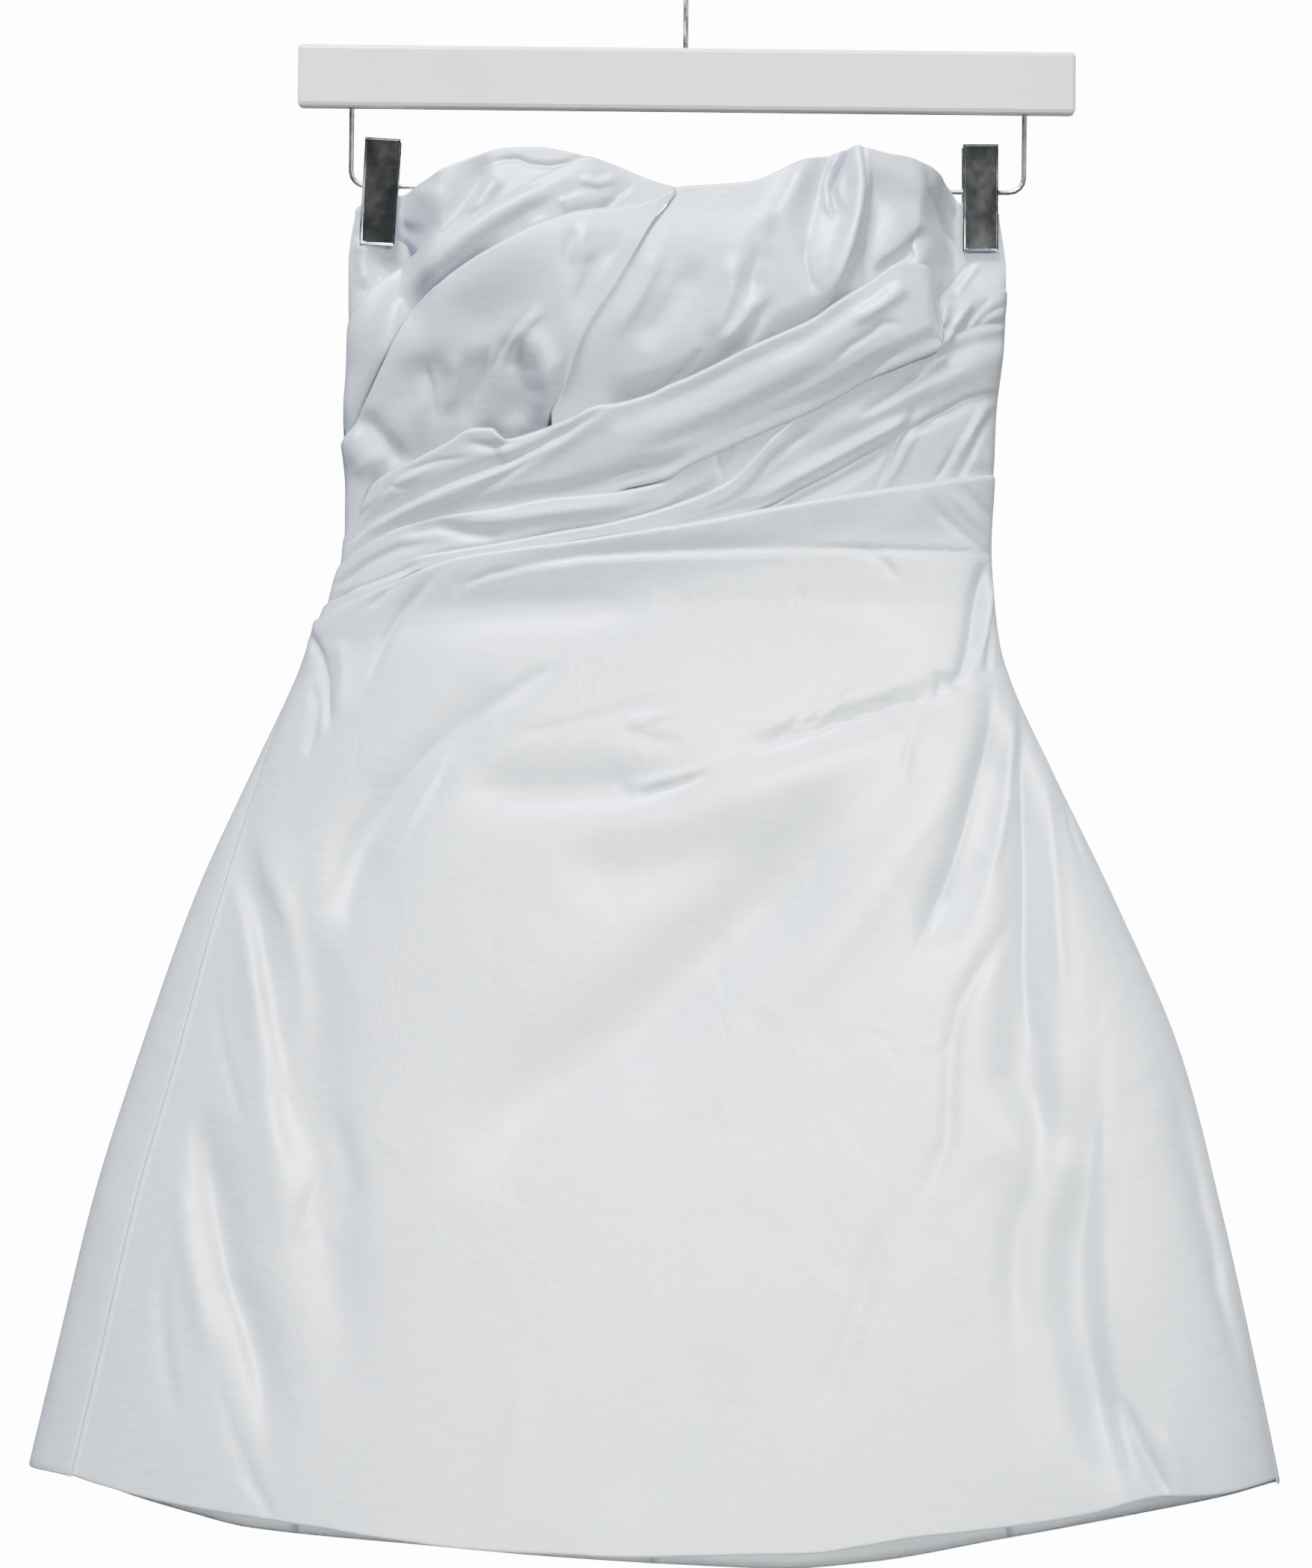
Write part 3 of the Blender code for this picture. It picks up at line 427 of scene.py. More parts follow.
def relief(folds, across, down):
    """The sum of soft folds: depth out, width on the upper or right side of a path that runs
    right or down, width on its other side, and the path."""
    total = np.zeros(np.shape(across))
    for deep, wide_over, wide_under, path in folds:
        path = np.array(path, float)
        lengths = np.linalg.norm(np.diff(path, axis=0), axis=1)
        travelled = np.concatenate(([0.0], np.cumsum(lengths)))
        reach = FOLD_REACH * max(wide_over, wide_under)
        low = path.min(axis=0) - reach
        high = path.max(axis=0) + reach
        near = (across > low[0]) & (across < high[0]) & (down > low[1]) & (down < high[1])
        if not near.any():
            continue
        x = across[near]
        d = down[near]
        best = np.full(x.shape, np.inf)
        side = np.zeros(x.shape)
        run_at = np.zeros(x.shape)
        for start, end, length, before in zip(path[:-1], path[1:], lengths, travelled):
            run = (end - start) / length
            along = np.clip((x - start[0]) * run[0] + (d - start[1]) * run[1], 0, length)
            away_x = x - start[0] - run[0] * along
            away_d = d - start[1] - run[1] * along
            gap = np.hypot(away_x, away_d)
            closer = gap < best
            side = np.where(closer, np.sign(run[1] * away_x - run[0] * away_d), side)
            run_at = np.where(closer, before + along, run_at)
            best = np.minimum(best, gap)
        share = run_at / travelled[-1]
        fade = ease(share / FOLD_FADE) * ease((1 - share) / FOLD_FADE)
        wide = np.where(side > 0, wide_over, wide_under)
        total[near] += deep * (FOLD_ENDS + (1 - FOLD_ENDS) * fade) * np.exp(-((best / wide) ** 2))
    return total


def seam_fade(turn, start, end):
    """1 away from the side seams and 0 at them, so that folds leave the seams closed."""
    return ease((turn - start) / SEAM_EASE) * ease((end - turn) / SEAM_EASE)


def from_ends(across, least=0.0):
    """How far each point of a row is from the row's first point and from its last."""
    widths = np.abs(np.gradient(across, axis=1)) + least
    from_first = np.cumsum(widths, axis=1) - widths[:, :1]
    return from_first, from_first[:, -1:] - from_first


def seam_sink(from_seam):
    """How far the cloth sinks into a seam, at a distance from it."""
    return SEAM_SINK * np.exp(-((from_seam / SEAM_REACH) ** 2))


def part_object(bm, name, finish):
    """An object of the dress or its hanger, from its finished bmesh."""
    mesh = bpy.data.meshes.new(name)
    bm.to_mesh(mesh)
    bm.free()
    mesh.materials.append(finish)
    piece = bpy.data.objects.new(name, mesh)
    bpy.context.scene.collection.objects.link(piece)
    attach(piece, "root")
    return piece


def cloth_object(node, points, tone=1.0):
    """The cloth of a node: a grid with its wall, from rows of points in millimetres."""
    rows = points.shape[0] - 1
    columns = points.shape[1] - 1
    bm = bmesh.new()
    bmesh.ops.create_grid(bm, x_segments=columns, y_segments=rows, size=1.0)
    corners = np.array([vertex.co[:2] for vertex in bm.verts])
    column = np.rint((corners[:, 0] + 1) / 2 * columns).astype(int)
    row = np.rint((1 - corners[:, 1]) / 2 * rows).astype(int)
    placed = points[row, column] * MM
    for vertex, point in zip(bm.verts, placed):
        vertex.co = point
    for face in bm.faces:
        face.smooth = True
    cloth = part_object(bm, f"{node}_cloth", satin(f"satin_{node}", tone))
    wall = cloth.modifiers.new("wall", "SOLIDIFY")
    wall.thickness = CLOTH * MM
    wall.offset = 1.0
    return cloth


def edge(rows, column, turns):
    """Where an edge of a front piece crosses each column of the form."""
    down = read(rows, column, form(turns, EDGE_FROM)[..., 0])
    for _ in range(EDGE_ROUNDS):
        down = (down + read(rows, column, form(turns, down)[..., 0])) / 2
    return down


def rolled(away, radius):
    """How far a folded edge turns in, at a distance from its fold."""
    near = np.clip(radius - away, 0.0, radius)
    return radius - np.sqrt(np.maximum(radius * radius - near * near, 0.0))


# Columns of a piece's rows, after across: its edges, and its rise at the top edge, between
# the edges and at the bottom edge
TOP, BOTTOM, RISE_TOP, RISE, RISE_BOTTOM = 1, 2, 3, 4, 5


def drape(node, rows, folds, tall_steps, settle, top_roll=ROLL, bottom_roll=0.0):
    """A draped piece of the front between its top and bottom edges. Its rises settle over a
    distance from each edge."""
    rows = np.array(rows, float)
    first, last = np.clip(turn_at(rows[[0, -1], 0], rows[[0, -1], 1]), -FRONT_ENDS, FRONT_ENDS)
    steps = int(abs(rows[-1, 0] - rows[0, 0]) / COLUMN_WIDE)
    start, end = np.sin(np.radians((first, last)))
    turns = np.degrees(np.arcsin(np.clip(np.linspace(start, end, steps + 1), -1, 1)))
    turns = (1 - EVEN_TURNS) * turns + EVEN_TURNS * np.linspace(first, last, steps + 1)
    top = edge(rows, TOP, turns)
    bottom = edge(rows, BOTTOM, turns)
    sunk = np.clip(-read(rows, RISE_BOTTOM, form(turns, bottom)[..., 0]) / LAP_SUNK, 0.0, 1.0)
    bottom = bottom + LAP_UNDER * sunk * seam_fade(turns, -90, 90)
    tall = bottom - top
    close = EDGE_ROWS[:, None]
    body = np.linspace(0.0, 1.0, tall_steps + 1)[1:-1, None]
    ends = np.minimum(close / np.maximum(tall, 1.0), EDGE_ROWS_SHARE * close / close[-1])
    inner = ends[-1] + (1 - 2 * ends[-1]) * body
    edge_row = np.zeros((1, len(turns)))
    share = np.concatenate((edge_row, ends, inner, 1 - ends[::-1], 1 - edge_row), axis=0)
    down = top + tall * share
    turn = np.broadcast_to(turns, down.shape)
    across = form(turn, down)[..., 0]
    from_top = down - top
    from_bottom = bottom - down
    lap = np.minimum(LAP, tall * LAP_SHARE)
    reach = np.maximum(np.minimum(settle, tall / 2 - lap), 0.1)
    middle = read(rows, RISE, across)
    over = (read(rows, RISE_TOP, across) - middle) * (1 - ease((from_top - lap) / reach))
    under = (read(rows, RISE_BOTTOM, across) - middle) * (1 - ease((from_bottom - lap) / reach))
    creased = relief(FRONT_FOLDS, across, down) + relief(folds, across, down)
    free = seam_fade(turn, -90, 90)
    rise = (middle + over + under) * (SEAM_RISE + (1 - SEAM_RISE) * free)
    out = LIFT + rise + creased * free
    if top_roll:
        out = out - rolled(from_top, top_roll)
    if bottom_roll:
        out = out - rolled(from_bottom, bottom_roll)
    from_left, from_right = from_ends(across)
    if rows[0, 0] < LEFT_SEAM_FROM:
        out = out - seam_sink(from_left)
    if rows[-1, 0] > RIGHT_SEAM_FROM:
        out = out - seam_sink(from_right)
    return cloth_object(node, stand_off(turn, down, out))


# The largest folds, which run through all the pieces they cross, as in the solids
FRONT_FOLDS = [
    (-5.5, 16, 16, [(-212, 372), (-200, 415), (-192, 460),
        (-190, 510), (-184, 560), (-176, 620), (-170, 680)]),
    (4, 14, 14, [(-223, 330), (-222, 370), (-214, 410), (-212, 454), (-206, 502), (-204, 550), (-200, 610)]),
    (-4.5, 14, 14, [(-247, 505), (-241, 561), (-232, 608), (-218, 640), (-207, 692)]),
    (-6, 14, 14, [(-84, 285), (-108, 301), (-139, 331), (-155, 352), (-167, 372), (-171, 424)]),
    (-2, 16, 16, [(-136, 259), (-84, 251), (-12, 243)]),
    (-3.6, 16, 16, [(-123, 343), (-83, 343), (-31, 342), (-3, 338)]),
    (2.6, 18, 18, [(-75, 365), (-3, 360), (37, 342), (108, 311)]),
    (-9, 22, 26, [(97, 341), (73, 369), (45, 405), (14, 434), (-22, 470), (-65, 499), (-121, 559)]),
    (-2.5, 20, 20, [(-67, 391), (-3, 378), (53, 369)]),
    (-8, 12, 12, [(168, 296), (167, 332), (161, 356), (153, 380), (141, 405), (129, 431)]),
    (-8, 14, 14, [(184, 304), (188, 348), (186, 396), (184, 444), (183, 492), (195, 524), (197, 552)]),
    (-3, 13, 13, [(172, 520), (178, 560), (182, 604), (190, 650), (198, 700)]),
    (-8, 16, 16, [(218, 532), (212, 576), (212, 620), (223, 660), (238, 712)]),
    (-4, 12, 12, [(268, 483), (279, 531), (291, 587), (300, 619)]),
    (4, 8, 8, [(92, -4), (94, 21), (90, 45), (78, 77), (69, 93)]),
    (-2, 9, 9, [(165, 283), (145, 290), (107, 303), (63, 317), (48, 323), (20, 331)]),
]

LEFT_CUP = [
    (-181, 33, 107, 0, 0, 0),
    (-164, 26, 79, 0, 0, 0),
    (-150, 23.5, 69, 0, 0, 0),
    (-126, 11, 53, 0, 0, 0),
    (-95, 1, 35, 0, 0, 0),
    (-79, 0.5, 26, 0, 0, 0),
    (-63, 3, 17, 0, 0, 0),
    (-54, 5, 12.5, 0, 0, 0),
]
LEFT_CUP_FOLDS = [
    (-4.7, 4, 6, [(-104, 2), (-109, 12), (-114, 22), (-122, 34), (-130, 44), (-137, 56)]),
    (-1.3, 1.6, 3, [(-100, 9), (-105, 13), (-110, 20), (-115, 29), (-119, 38), (-122, 48)]),
    (-1, 1.4, 2.4, [(-101, 13), (-106, 20), (-110, 27), (-113, 36)]),
    (-1.5, 1.6, 2.4, [(-106, 10), (-96, 7.5), (-89, 7), (-82, 10), (-72, 11), (-62, 9), (-52, 4)]),
    (3.4, 3, 5, [(-97, 17), (-103, 26), (-108, 34), (-112, 42)]),
    (-6.0, 11, 11, [(-144, 50), (-153, 58), (-160, 70)]),
    (3.6, 5, 5, [(-173, 44), (-171, 60), (-169, 78)]),
    (3.1, 8, 8, [(-132, 18), (-142, 30), (-148, 44)]),
]
left_cup = drape("left_cup", LEFT_CUP, LEFT_CUP_FOLDS, 50, 12.0, THIN_ROLL)
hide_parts("left_cup")


# The bust pleat: a folded strip of satin that starts at the neckline and is caught in the
# left side seam. Its upper edge is a soft fold that lies over the cup.
BUST_PLEAT = [
    (-181, 102, 167, 2.6, 0.0, -4),
    (-174, 88, 153, 2.6, -1.0, -6),
    (-164, 73, 136, 2.6, 0.0, -8),
    (-150, 63, 107, 2.6, 1.5, -8),
    (-126, 47, 79, 2.6, 2.0, -7),
    (-110, 38, 67, 2.6, 2.0, -4),
    (-95, 29, 59, 2.6, 2.0, -4),
    (-79, 19.5, 50, 2.6, 1.5, -4),
    (-63, 11, 44, 2.6, 1.0, -4),
    (-52, 6.4, 42, 2.6, 0.8, -2),
    (-40, 9.5, 40, 1.0, 0.4, -2),
    (-28, 14, 38, 0, 0, 0),
    (-18, 18.2, 34, 0, 0, 0),
    (-12, 20, 29, 0, 0, 0),
    (-4.5, 21.9, 26, 0, 0, 0),
]
BUST_PLEAT_FOLDS = [
    (1.1, 2, 2, [(-68, 29), (-60, 34), (-52, 37)]),
    (-1, 1.5, 1.5, [(-64, 30), (-56, 36), (-47, 38)]),
    (-1.7, 2, 3, [(-28, 20), (-38, 30), (-50, 40)]),
    (1.5, 2, 3, [(-34, 18), (-46, 22), (-58, 20)]),
    (3.6, 5, 7, [(-50, 18), (-66, 23), (-82, 31), (-98, 40),
        (-116, 53), (-132, 66), (-148, 82), (-160, 98), (-170, 116)]),
    (-2.6, 4, 5, [(-46, 34), (-62, 34), (-78, 39), (-94, 48), (-112, 61), (-130, 77), (-146, 96)]),
    (2.2, 4, 5, [(-44, 28), (-60, 33), (-74, 41), (-88, 48)]),
]
bust_pleat = drape("bust_pleat", BUST_PLEAT, BUST_PLEAT_FOLDS, 44, 24.0)
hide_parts("bust_pleat")


# The left swath: the wide stretch from the neckline dip down over the left ribs, with the
# fullness of the bust gathered into the folds at its lower end.
LEFT_SWATH = [
    (-181, 162, 215, 2.6, 1.0, 0),
    (-173, 148, 205, 2.6, 1.0, 0),
    (-165, 132, 186, 2.6, 1.0, -4),
    (-157, 115, 181, 2.6, 0.5, -4),
    (-150, 102, 177, 2.6, 0, -4),
    (-140, 87.5, 172, 2.6, -1, -8),
    (-126, 73.3, 164, 2.6, -3, -8),
    (-110, 62, 157, 2.6, -4, -8),
    (-94, 53, 160, 2.6, -3, -8),
    (-80, 45.5, 157, 2.6, 0, -8),
    (-67, 40.5, 148, 2.6, 2.4, -5),
    (-59, 37.6, 120, 2.6, 2.6, 2.6),
    (-52, 36.3, 100.5, 2.6, 2.6, 2.6),
    (-38, 34.6, 78.4, 2.6, 2.6, 2.6),
    (-26, 33, 58, 2.6, 2.6, 2.6),
    (-16, 29.4, 41, 2.6, 2.6, 2.6),
    (-10, 26.5, 33, 2.2, 2.2, 2.2),
    (-4.5, 23.0, 26, 0.8, 0.8, 0.8),
]
LEFT_SWATH_FOLDS = [
    (-1.4, 2, 2, [(-78, 86), (-88, 98), (-96, 110), (-104, 126)]),
    (-1.4, 1.6, 2.6, [(-102, 106), (-106, 122), (-111, 140)]),
    (-1.7, 2, 3, [(-138, 114), (-134, 130), (-133, 148)]),
    (1.9, 3, 4, [(-120, 110), (-121, 128), (-125, 146)]),
    (-1.7, 3, 3, [(-58, 46), (-62, 60), (-60, 74)]),
    (2.6, 3, 5, [(-72, 86), (-88, 104), (-98, 120)]),
    (-4.0, 6, 6, [(-172, 140), (-164, 151), (-155, 162), (-145, 173)]),
    (3.2, 8, 8, [(-178, 150), (-171, 162), (-162, 176)]),
    (-2.5, 5, 6, [(-34, 48), (-46, 66), (-52, 80), (-56, 98)]),
    (1.2, 4, 4, [(-50, 43), (-54, 54), (-52, 66)]),
    (3.0, 16, 12, [(-154, 118), (-138, 110), (-118, 108), (-100, 112), (-84, 120)]),
    (-2.0, 7, 9, [(-104, 108), (-108, 122), (-114, 136), (-120, 152)]),
    (-1.8, 6, 8, [(-136, 108), (-130, 124), (-129, 140), (-132, 156)]),
    (-3.4, 7, 8, [(-116, 159), (-104, 157), (-94, 161), (-84, 159), (-74, 155)]),
    (-5.0, 7, 7, [(-101, 102), (-92, 112), (-87, 122), (-86, 132), (-89, 143), (-97, 153)]),
    (4.2, 6, 7, [(-86, 96), (-77, 107), (-72, 119), (-70, 131), (-73, 143), (-80, 153)]),
]
left_swath = drape("left_swath", LEFT_SWATH, LEFT_SWATH_FOLDS, 86, 34.0)
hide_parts("left_swath")


# The right cup: the right half of the bodice, with a small tube fold at the neckline where
# its fullness is gathered, and lines that fan out from it.
RIGHT_CUP = [
    (-69, 143, 157, 0, 0, 0),
    (-63, 128, 157, 0, 0, 0),
    (-56, 107, 153, 0, 0, 0),
    (-43, 82, 146, 0, 0, 0),
    (-31, 62, 144, 0, 0, -6),
    (-18, 42, 140, 0, 0, -6),
    (-9, 32, 137, 0, 0, -6),
    (-4, 22, 134.5, 0, 0, -6),
    (14, 20.5, 127, 0, 0, -6),
    (35, 18.5, 117, 0, 0, -6),
    (49, 13, 110, 0, 0, -6),
    (65, 5.7, 103, 0, 0, -6),
    (80, 2.4, 97, 0, 0, -6),
    (92, -1.5, 92, 0, 0, -6),
    (98, 0, 91, 2.5, -2.0, -5),
    (109, 3, 90, 3.5, -2.5, -5),
    (119, 4.5, 89.5, 3.5, -2.5, -5),
    (129, 8, 91.5, 2.5, -2.0, -5),
    (134, 11.5, 91.5, 1.5, -1.0, -5),
    (137.5, 14.1, 86.5, 0, 0, -5),
    (141.5, 17.3, 88, 0, 0, 0),
    (147.5, 24.5, 86, 0, 0, 0),
    (159, 27, 82, 0, 0, 0),
    (173, 30.5, 77, 0, 0, 0),
]
RIGHT_CUP_FOLDS = [
    (-1.3, 1.4, 2.4, [(66, 46), (64, 60), (67, 72), (74, 82)]),
    (4.2, 6, 7, [(67, 2), (58, 24), (49, 42), (40, 62)]),
    (-5.2, 5, 6, [(51, 36), (43, 52), (38, 66), (33, 86)]),
    (3.6, 6, 6, [(29, 56), (24, 80), (13, 108)]),
    (-2.5, 1.4, 3.4, [(124, 2), (130, 18), (136, 29), (141, 40), (148, 54)]),
    (1.7, 2, 3, [(130, 5), (139, 19), (147, 33)]),
    (-6.2, 4, 5, [(130, 39), (123, 53), (112, 62), (100, 71)]),
    (-1.4, 2, 2, [(155, 54), (148, 64), (141, 73), (132, 82)]),
    (1.1, 2, 2, [(160, 56), (152, 67), (145, 77)]),
    (-3.4, 3, 4, [(48, 80), (38, 98), (30, 108), (18, 119)]),
    (2.5, 3, 3, [(39, 81), (30, 96), (18, 109)]),
    (-1.5, 2, 2, [(12, 107), (4, 117), (-8, 129)]),
    (-3.1, 7, 8, [(10, 60), (-4, 84), (-24, 112)]),
    (2.6, 5, 6, [(-10, 52), (-22, 78), (-38, 106)]),
    (2.4, 2.0, 1.8, [(84, 0), (79, 10), (75, 20), (76, 32), (80, 42)]),
    (5.0, 1.4, 6, [(92, -16), (93, 8), (94, 24), (92, 38), (88, 54), (82, 70), (70, 97)]),
    (-3.2, 5, 6, [(78, -6), (73, 16), (69, 30), (66, 44), (64, 58), (66, 74)]),
    (-4.6, 10, 1.8, [(99, 2), (100, 18), (99, 34), (96, 50), (90, 66), (83, 82)]),
    (-5.5, 1.5, 2.4, [(90, -4), (86, 5), (81, 13), (79, 22), (81, 31), (87, 40)]),
]
right_cup = drape("right_cup", RIGHT_CUP, RIGHT_CUP_FOLDS, 90, 22.0, THIN_ROLL)
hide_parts("right_cup")


# The sash: a wide doubled band from the right bust, across the waist, into the left side
# seam. Its folded right end stands clear, and its upper fold throws the deepest shadow.
SASH = [
    (-181, 210, 229, 2.6, 1.0, 0),
    (-173, 200, 223, 2.6, 1.0, 0),
    (-163, 180, 217, 2.6, 1.5, 0),
    (-141, 167.5, 207, 2.6, 2.5, 0),
    (-125, 159.3, 202.5, 2.6, 3.0, 0),
    (-110, 151.2, 199, 3.0, 3.5, 0),
    (-101, 151, 198, 4.0, 3.5, 0),
    (-93, 157, 197, 5.4, 3.5, 0),
    (-80, 153.8, 194.5, 5.4, 3.5, 0),
    (-61, 146.7, 191.5, 5.4, 4.0, 0),
    (-43, 138.5, 189, 5.4, 4.5, 0),
    (-36, 138, 185.5, 4.0, 4.5, 0),
    (-30, 136.8, 182.6, 3.2, 4.5, 0),
    (-16, 132.5, 179.2, 3.0, 4.5, 0.6),
    (-7, 128, 176.5, 3.0, 4.5, 1.8),
    (3, 124, 170.3, 3.0, 5.0, 3.0),
    (18.5, 116.6, 162.8, 3.0, 5.5, 3.0),
    (34.4, 108.5, 155.8, 3.0, 6.0, 3.0),
    (50.3, 101.5, 148.4, 3.0, 6.0, 3.0),
    (68, 93.3, 140.6, 3.0, 6.0, 3.0),
    (82, 83.2, 133, 3.0, 6.0, 3.0),
    (98, 73, 123.4, 3.0, 6.0, 3.0),
    (114, 62.8, 115.6, 5.5, 7, 5.0),
    (125, 63.1, 111, 5.5, 7, 5.0),
    (131, 84, 108.6, 5.5, 6.5, 5.0),
    (135, 99, 106.8, 5.5, 6, 5.0),
]
SASH_FOLDS = [
    (-3.8, 5, 1.2, [(-188, 222), (-165, 201), (-149, 192), (-133, 184), (-118, 178),
        (-104, 173), (-88, 167), (-74, 160), (-60, 153), (-48, 145), (-38, 137)]),
    (2.1, 1.2, 5, [(-180, 220), (-165, 205), (-149, 196), (-133, 188),
        (-118, 182), (-104, 177), (-88, 171), (-74, 164), (-60, 157), (-46, 147)]),
    (-2.1, 2.5, 2.5, [(-136, 199), (-122, 192), (-108, 184), (-94, 176), (-80, 167), (-66, 159)]),
    (-2.8, 5, 4, [(-70, 187), (-48, 179), (-28, 173), (-8, 168), (8, 162)]),
    (-3.2, 2.2, 3, [(-116, 158), (-100, 160), (-90, 158), (-78, 153), (-62, 147)]),
    (-1.4, 2, 2, [(-188, 215), (-168, 194), (-154, 182), (-138, 181)]),
    (1.2, 2, 2, [(-178, 200), (-160, 187), (-146, 178), (-126, 169)]),
    (-1, 1.6, 2, [(-152, 175), (-130, 168), (-110, 166)]),
    (-1.2, 8, 7, [(82, 96), (58, 107), (38, 118), (18, 128), (-4, 137), (-26, 144)]),
    (1.2, 7, 7, [(94, 97), (66, 114), (40, 128), (12, 142), (-16, 153), (-48, 166)]),
    (-2.3, 5, 5, [(84, 112), (56, 128), (30, 142), (6, 152), (-24, 164)]),
    (-1.3, 1.6, 2.6, [(114, 95), (104, 95), (97, 101), (88, 106), (78, 115)]),
    (-1, 1.4, 2.2, [(116, 107), (107, 113), (101, 119), (92, 128)]),
    (2.1, 4, 4, [(118, 72), (104, 84), (86, 95)]),
]
sash = drape("sash", SASH, SASH_FOLDS, 56, 10.0, ROLL, ROLL)
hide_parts("sash")


# The waist band: a narrow pleat below the sash. It lies over the sash at the left and dives
# under it near the middle.
WAIST_BAND = [
    (-187, 229, 250, 2.6, 1.5, 0),
    (-165, 211.8, 239, 2.6, 1.5, -4),
    (-149, 203.6, 232, 2.6, 1.5, -4),
    (-125, 197.3, 222.5, 2.6, 1.5, -7),
    (-93, 192.2, 217.5, 2.6, 1.5, -7),
    (-69, 187.6, 211.5, 2.6, 1.5, -7),
    (-49, 185.7, 208.5, 2.6, 1.5, -7),
    (-36, 184.5, 206, 2.6, 1.3, -4),
    (-30, 183.6, 204, 1.8, 1.0, -2),
    (-16, 180.6, 200, 0.8, 0.4, -2),
    (-7, 177.6, 196, 0, 0, -2),
    (3, 169, 192, 0, 0, -2),
    (11, 163, 189, 0, 0, -2),
    (25, 155.5, 182, 0, 0, 0),
    (35, 150.5, 174, 0, 0, 0),
    (44, 146, 164, 0, 0, 0),
    (50, 144, 158, 0, 0, 0),
    (57, 140, 150, 0, 0, 0),
]
WAIST_BAND_FOLDS = [
    (-1.8, 1, 1.4, [(14, 154), (19, 166), (22, 177)]),
    (-1.8, 1, 1.2, [(30, 152), (25, 163), (21, 174)]),
    (-2.9, 5, 4, [(-154, 208), (-130, 203), (-112, 206), (-90, 209)]),
    (2.3, 4, 4, [(-128, 202), (-90, 198), (-60, 194), (-24, 189)]),
    (-1.7, 2, 3, [(-188, 240), (-166, 222), (-150, 214), (-130, 211)]),
]
waist_band = drape("waist_band", WAIST_BAND, WAIST_BAND_FOLDS, 28, 8.0)
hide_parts("waist_band")


# The side wrap: the panel at the right waist. It tapers to a pleat that runs across the
# front and down to the left hip, and creases fan out of it towards the right side seam.
SIDE_WRAP = [
    (-190, 246, 258, 3.4, 3.4, 3.4),
    (-181, 242, 253.5, 3.2, 3.2, 3.2),
    (-168, 234, 245.5, 2.6, 2.6, 2.6),
    (-152, 227, 238.5, 2.6, 2.6, 0.5),
    (-140, 219.5, 232, 2.6, 2.6, 0.5),
    (-124, 216.5, 226.5, 2.6, 2.6, 0.5),
    (-100, 212.5, 221, 2.6, 2.6, 0.5),
    (-84, 209.5, 219, 2.6, 2.6, 0.5),
    (-61, 204.7, 215.5, 2.6, 2.6, 0.5),
    (-45, 202, 213, 2.6, 2.6, 0.5),
    (-17, 195, 209, 2.6, 2.6, 2.6),
    (11, 185, 204, 2.6, 2.2, 1.6),
    (25, 178, 201, 2.6, 1.5, 0.8),
    (35, 169, 199, 2.6, 1.0, 0),
    (43, 160, 197.5, 2.6, 0.5, 0),
    (50, 152.5, 196, 2.4, 0.2, 0),
    (60, 144, 194, 0, 0, 0),
    (75, 132.5, 191.5, 0, 0, 0),
    (90, 120, 189, 0, 0, 0),
    (106, 108, 186, 0, 0, 0),
    (120, 101, 183.5, 0, 0, 0),
    (131, 97, 182, 0, 0, 0),
    (134, 95.5, 181.5, 0.3, 0, 0),
    (137.5, 83.2, 180.6, 3.4, 0.6, 0),
    (142, 82, 180, 2.6, 0.5, 0),
    (158, 76.5, 177.5, 2.6, 1.0, 0),
    (173, 71, 175.5, 2.6, 1.0, 0),
]
SIDE_WRAP_FOLDS = [
    (-4.9, 1.2, 6, [(30, 199), (50, 190), (64, 182), (78, 175), (92, 167), (104, 160), (118, 152)]),
    (-2.7, 1.6, 3.2, [(106, 158), (120, 150), (132, 143), (143, 137), (151, 132), (160, 129), (182, 125)]),
    (2.8, 4, 2, [(38, 189), (60, 176), (84, 163), (108, 150), (130, 139)]),
    (-1.8, 1.4, 3, [(126, 135), (118, 150), (112, 163), (103, 183)]),
    (1.3, 2.4, 2, [(130, 137), (122, 153), (115, 167), (107, 183)]),
    (-1.7, 1.6, 3, [(168, 134), (159, 150), (153, 163), (145, 179)]),
    (-1.4, 1.6, 2.4, [(158, 136), (147, 156), (140, 168), (132, 180)]),
    (1.9, 3, 3, [(164, 130), (153, 148), (144, 165)]),
    (-2.5, 1.6, 2.6, [(136, 99), (148, 95), (158, 92), (180, 86)]),
    (2.8, 2, 2.4, [(156, 78), (148, 89), (142, 98), (136, 108)]),
    (-1.5, 1.4, 2, [(166, 76), (156, 86), (148, 96)]),
    (-1.3, 1.4, 2, [(176, 77), (164, 85), (154, 93)]),
    (-3.9, 5, 6, [(180, 96), (156, 102), (140, 110), (120, 120)]),
    (1.8, 6, 6, [(164, 110), (136, 124), (110, 136), (86, 147), (60, 162)]),
    (-1.8, 2, 2.4, [(72, 148), (60, 157), (50, 164), (40, 174)]),
    (-1.7, 2, 3, [(132, 118), (112, 132), (92, 144)]),
    (-3.4, 3, 3, [(-176, 235), (-156, 228), (-138, 222)]),
]
side_wrap = drape("side_wrap", SIDE_WRAP, SIDE_WRAP_FOLDS, 78, 8.0)
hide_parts("side_wrap")


# The skirt front: one flared panel from the wrap to the hem. Its own pleat runs from the
# right side seam to a soft curl at the left, and a tuck slants down from the right hip.

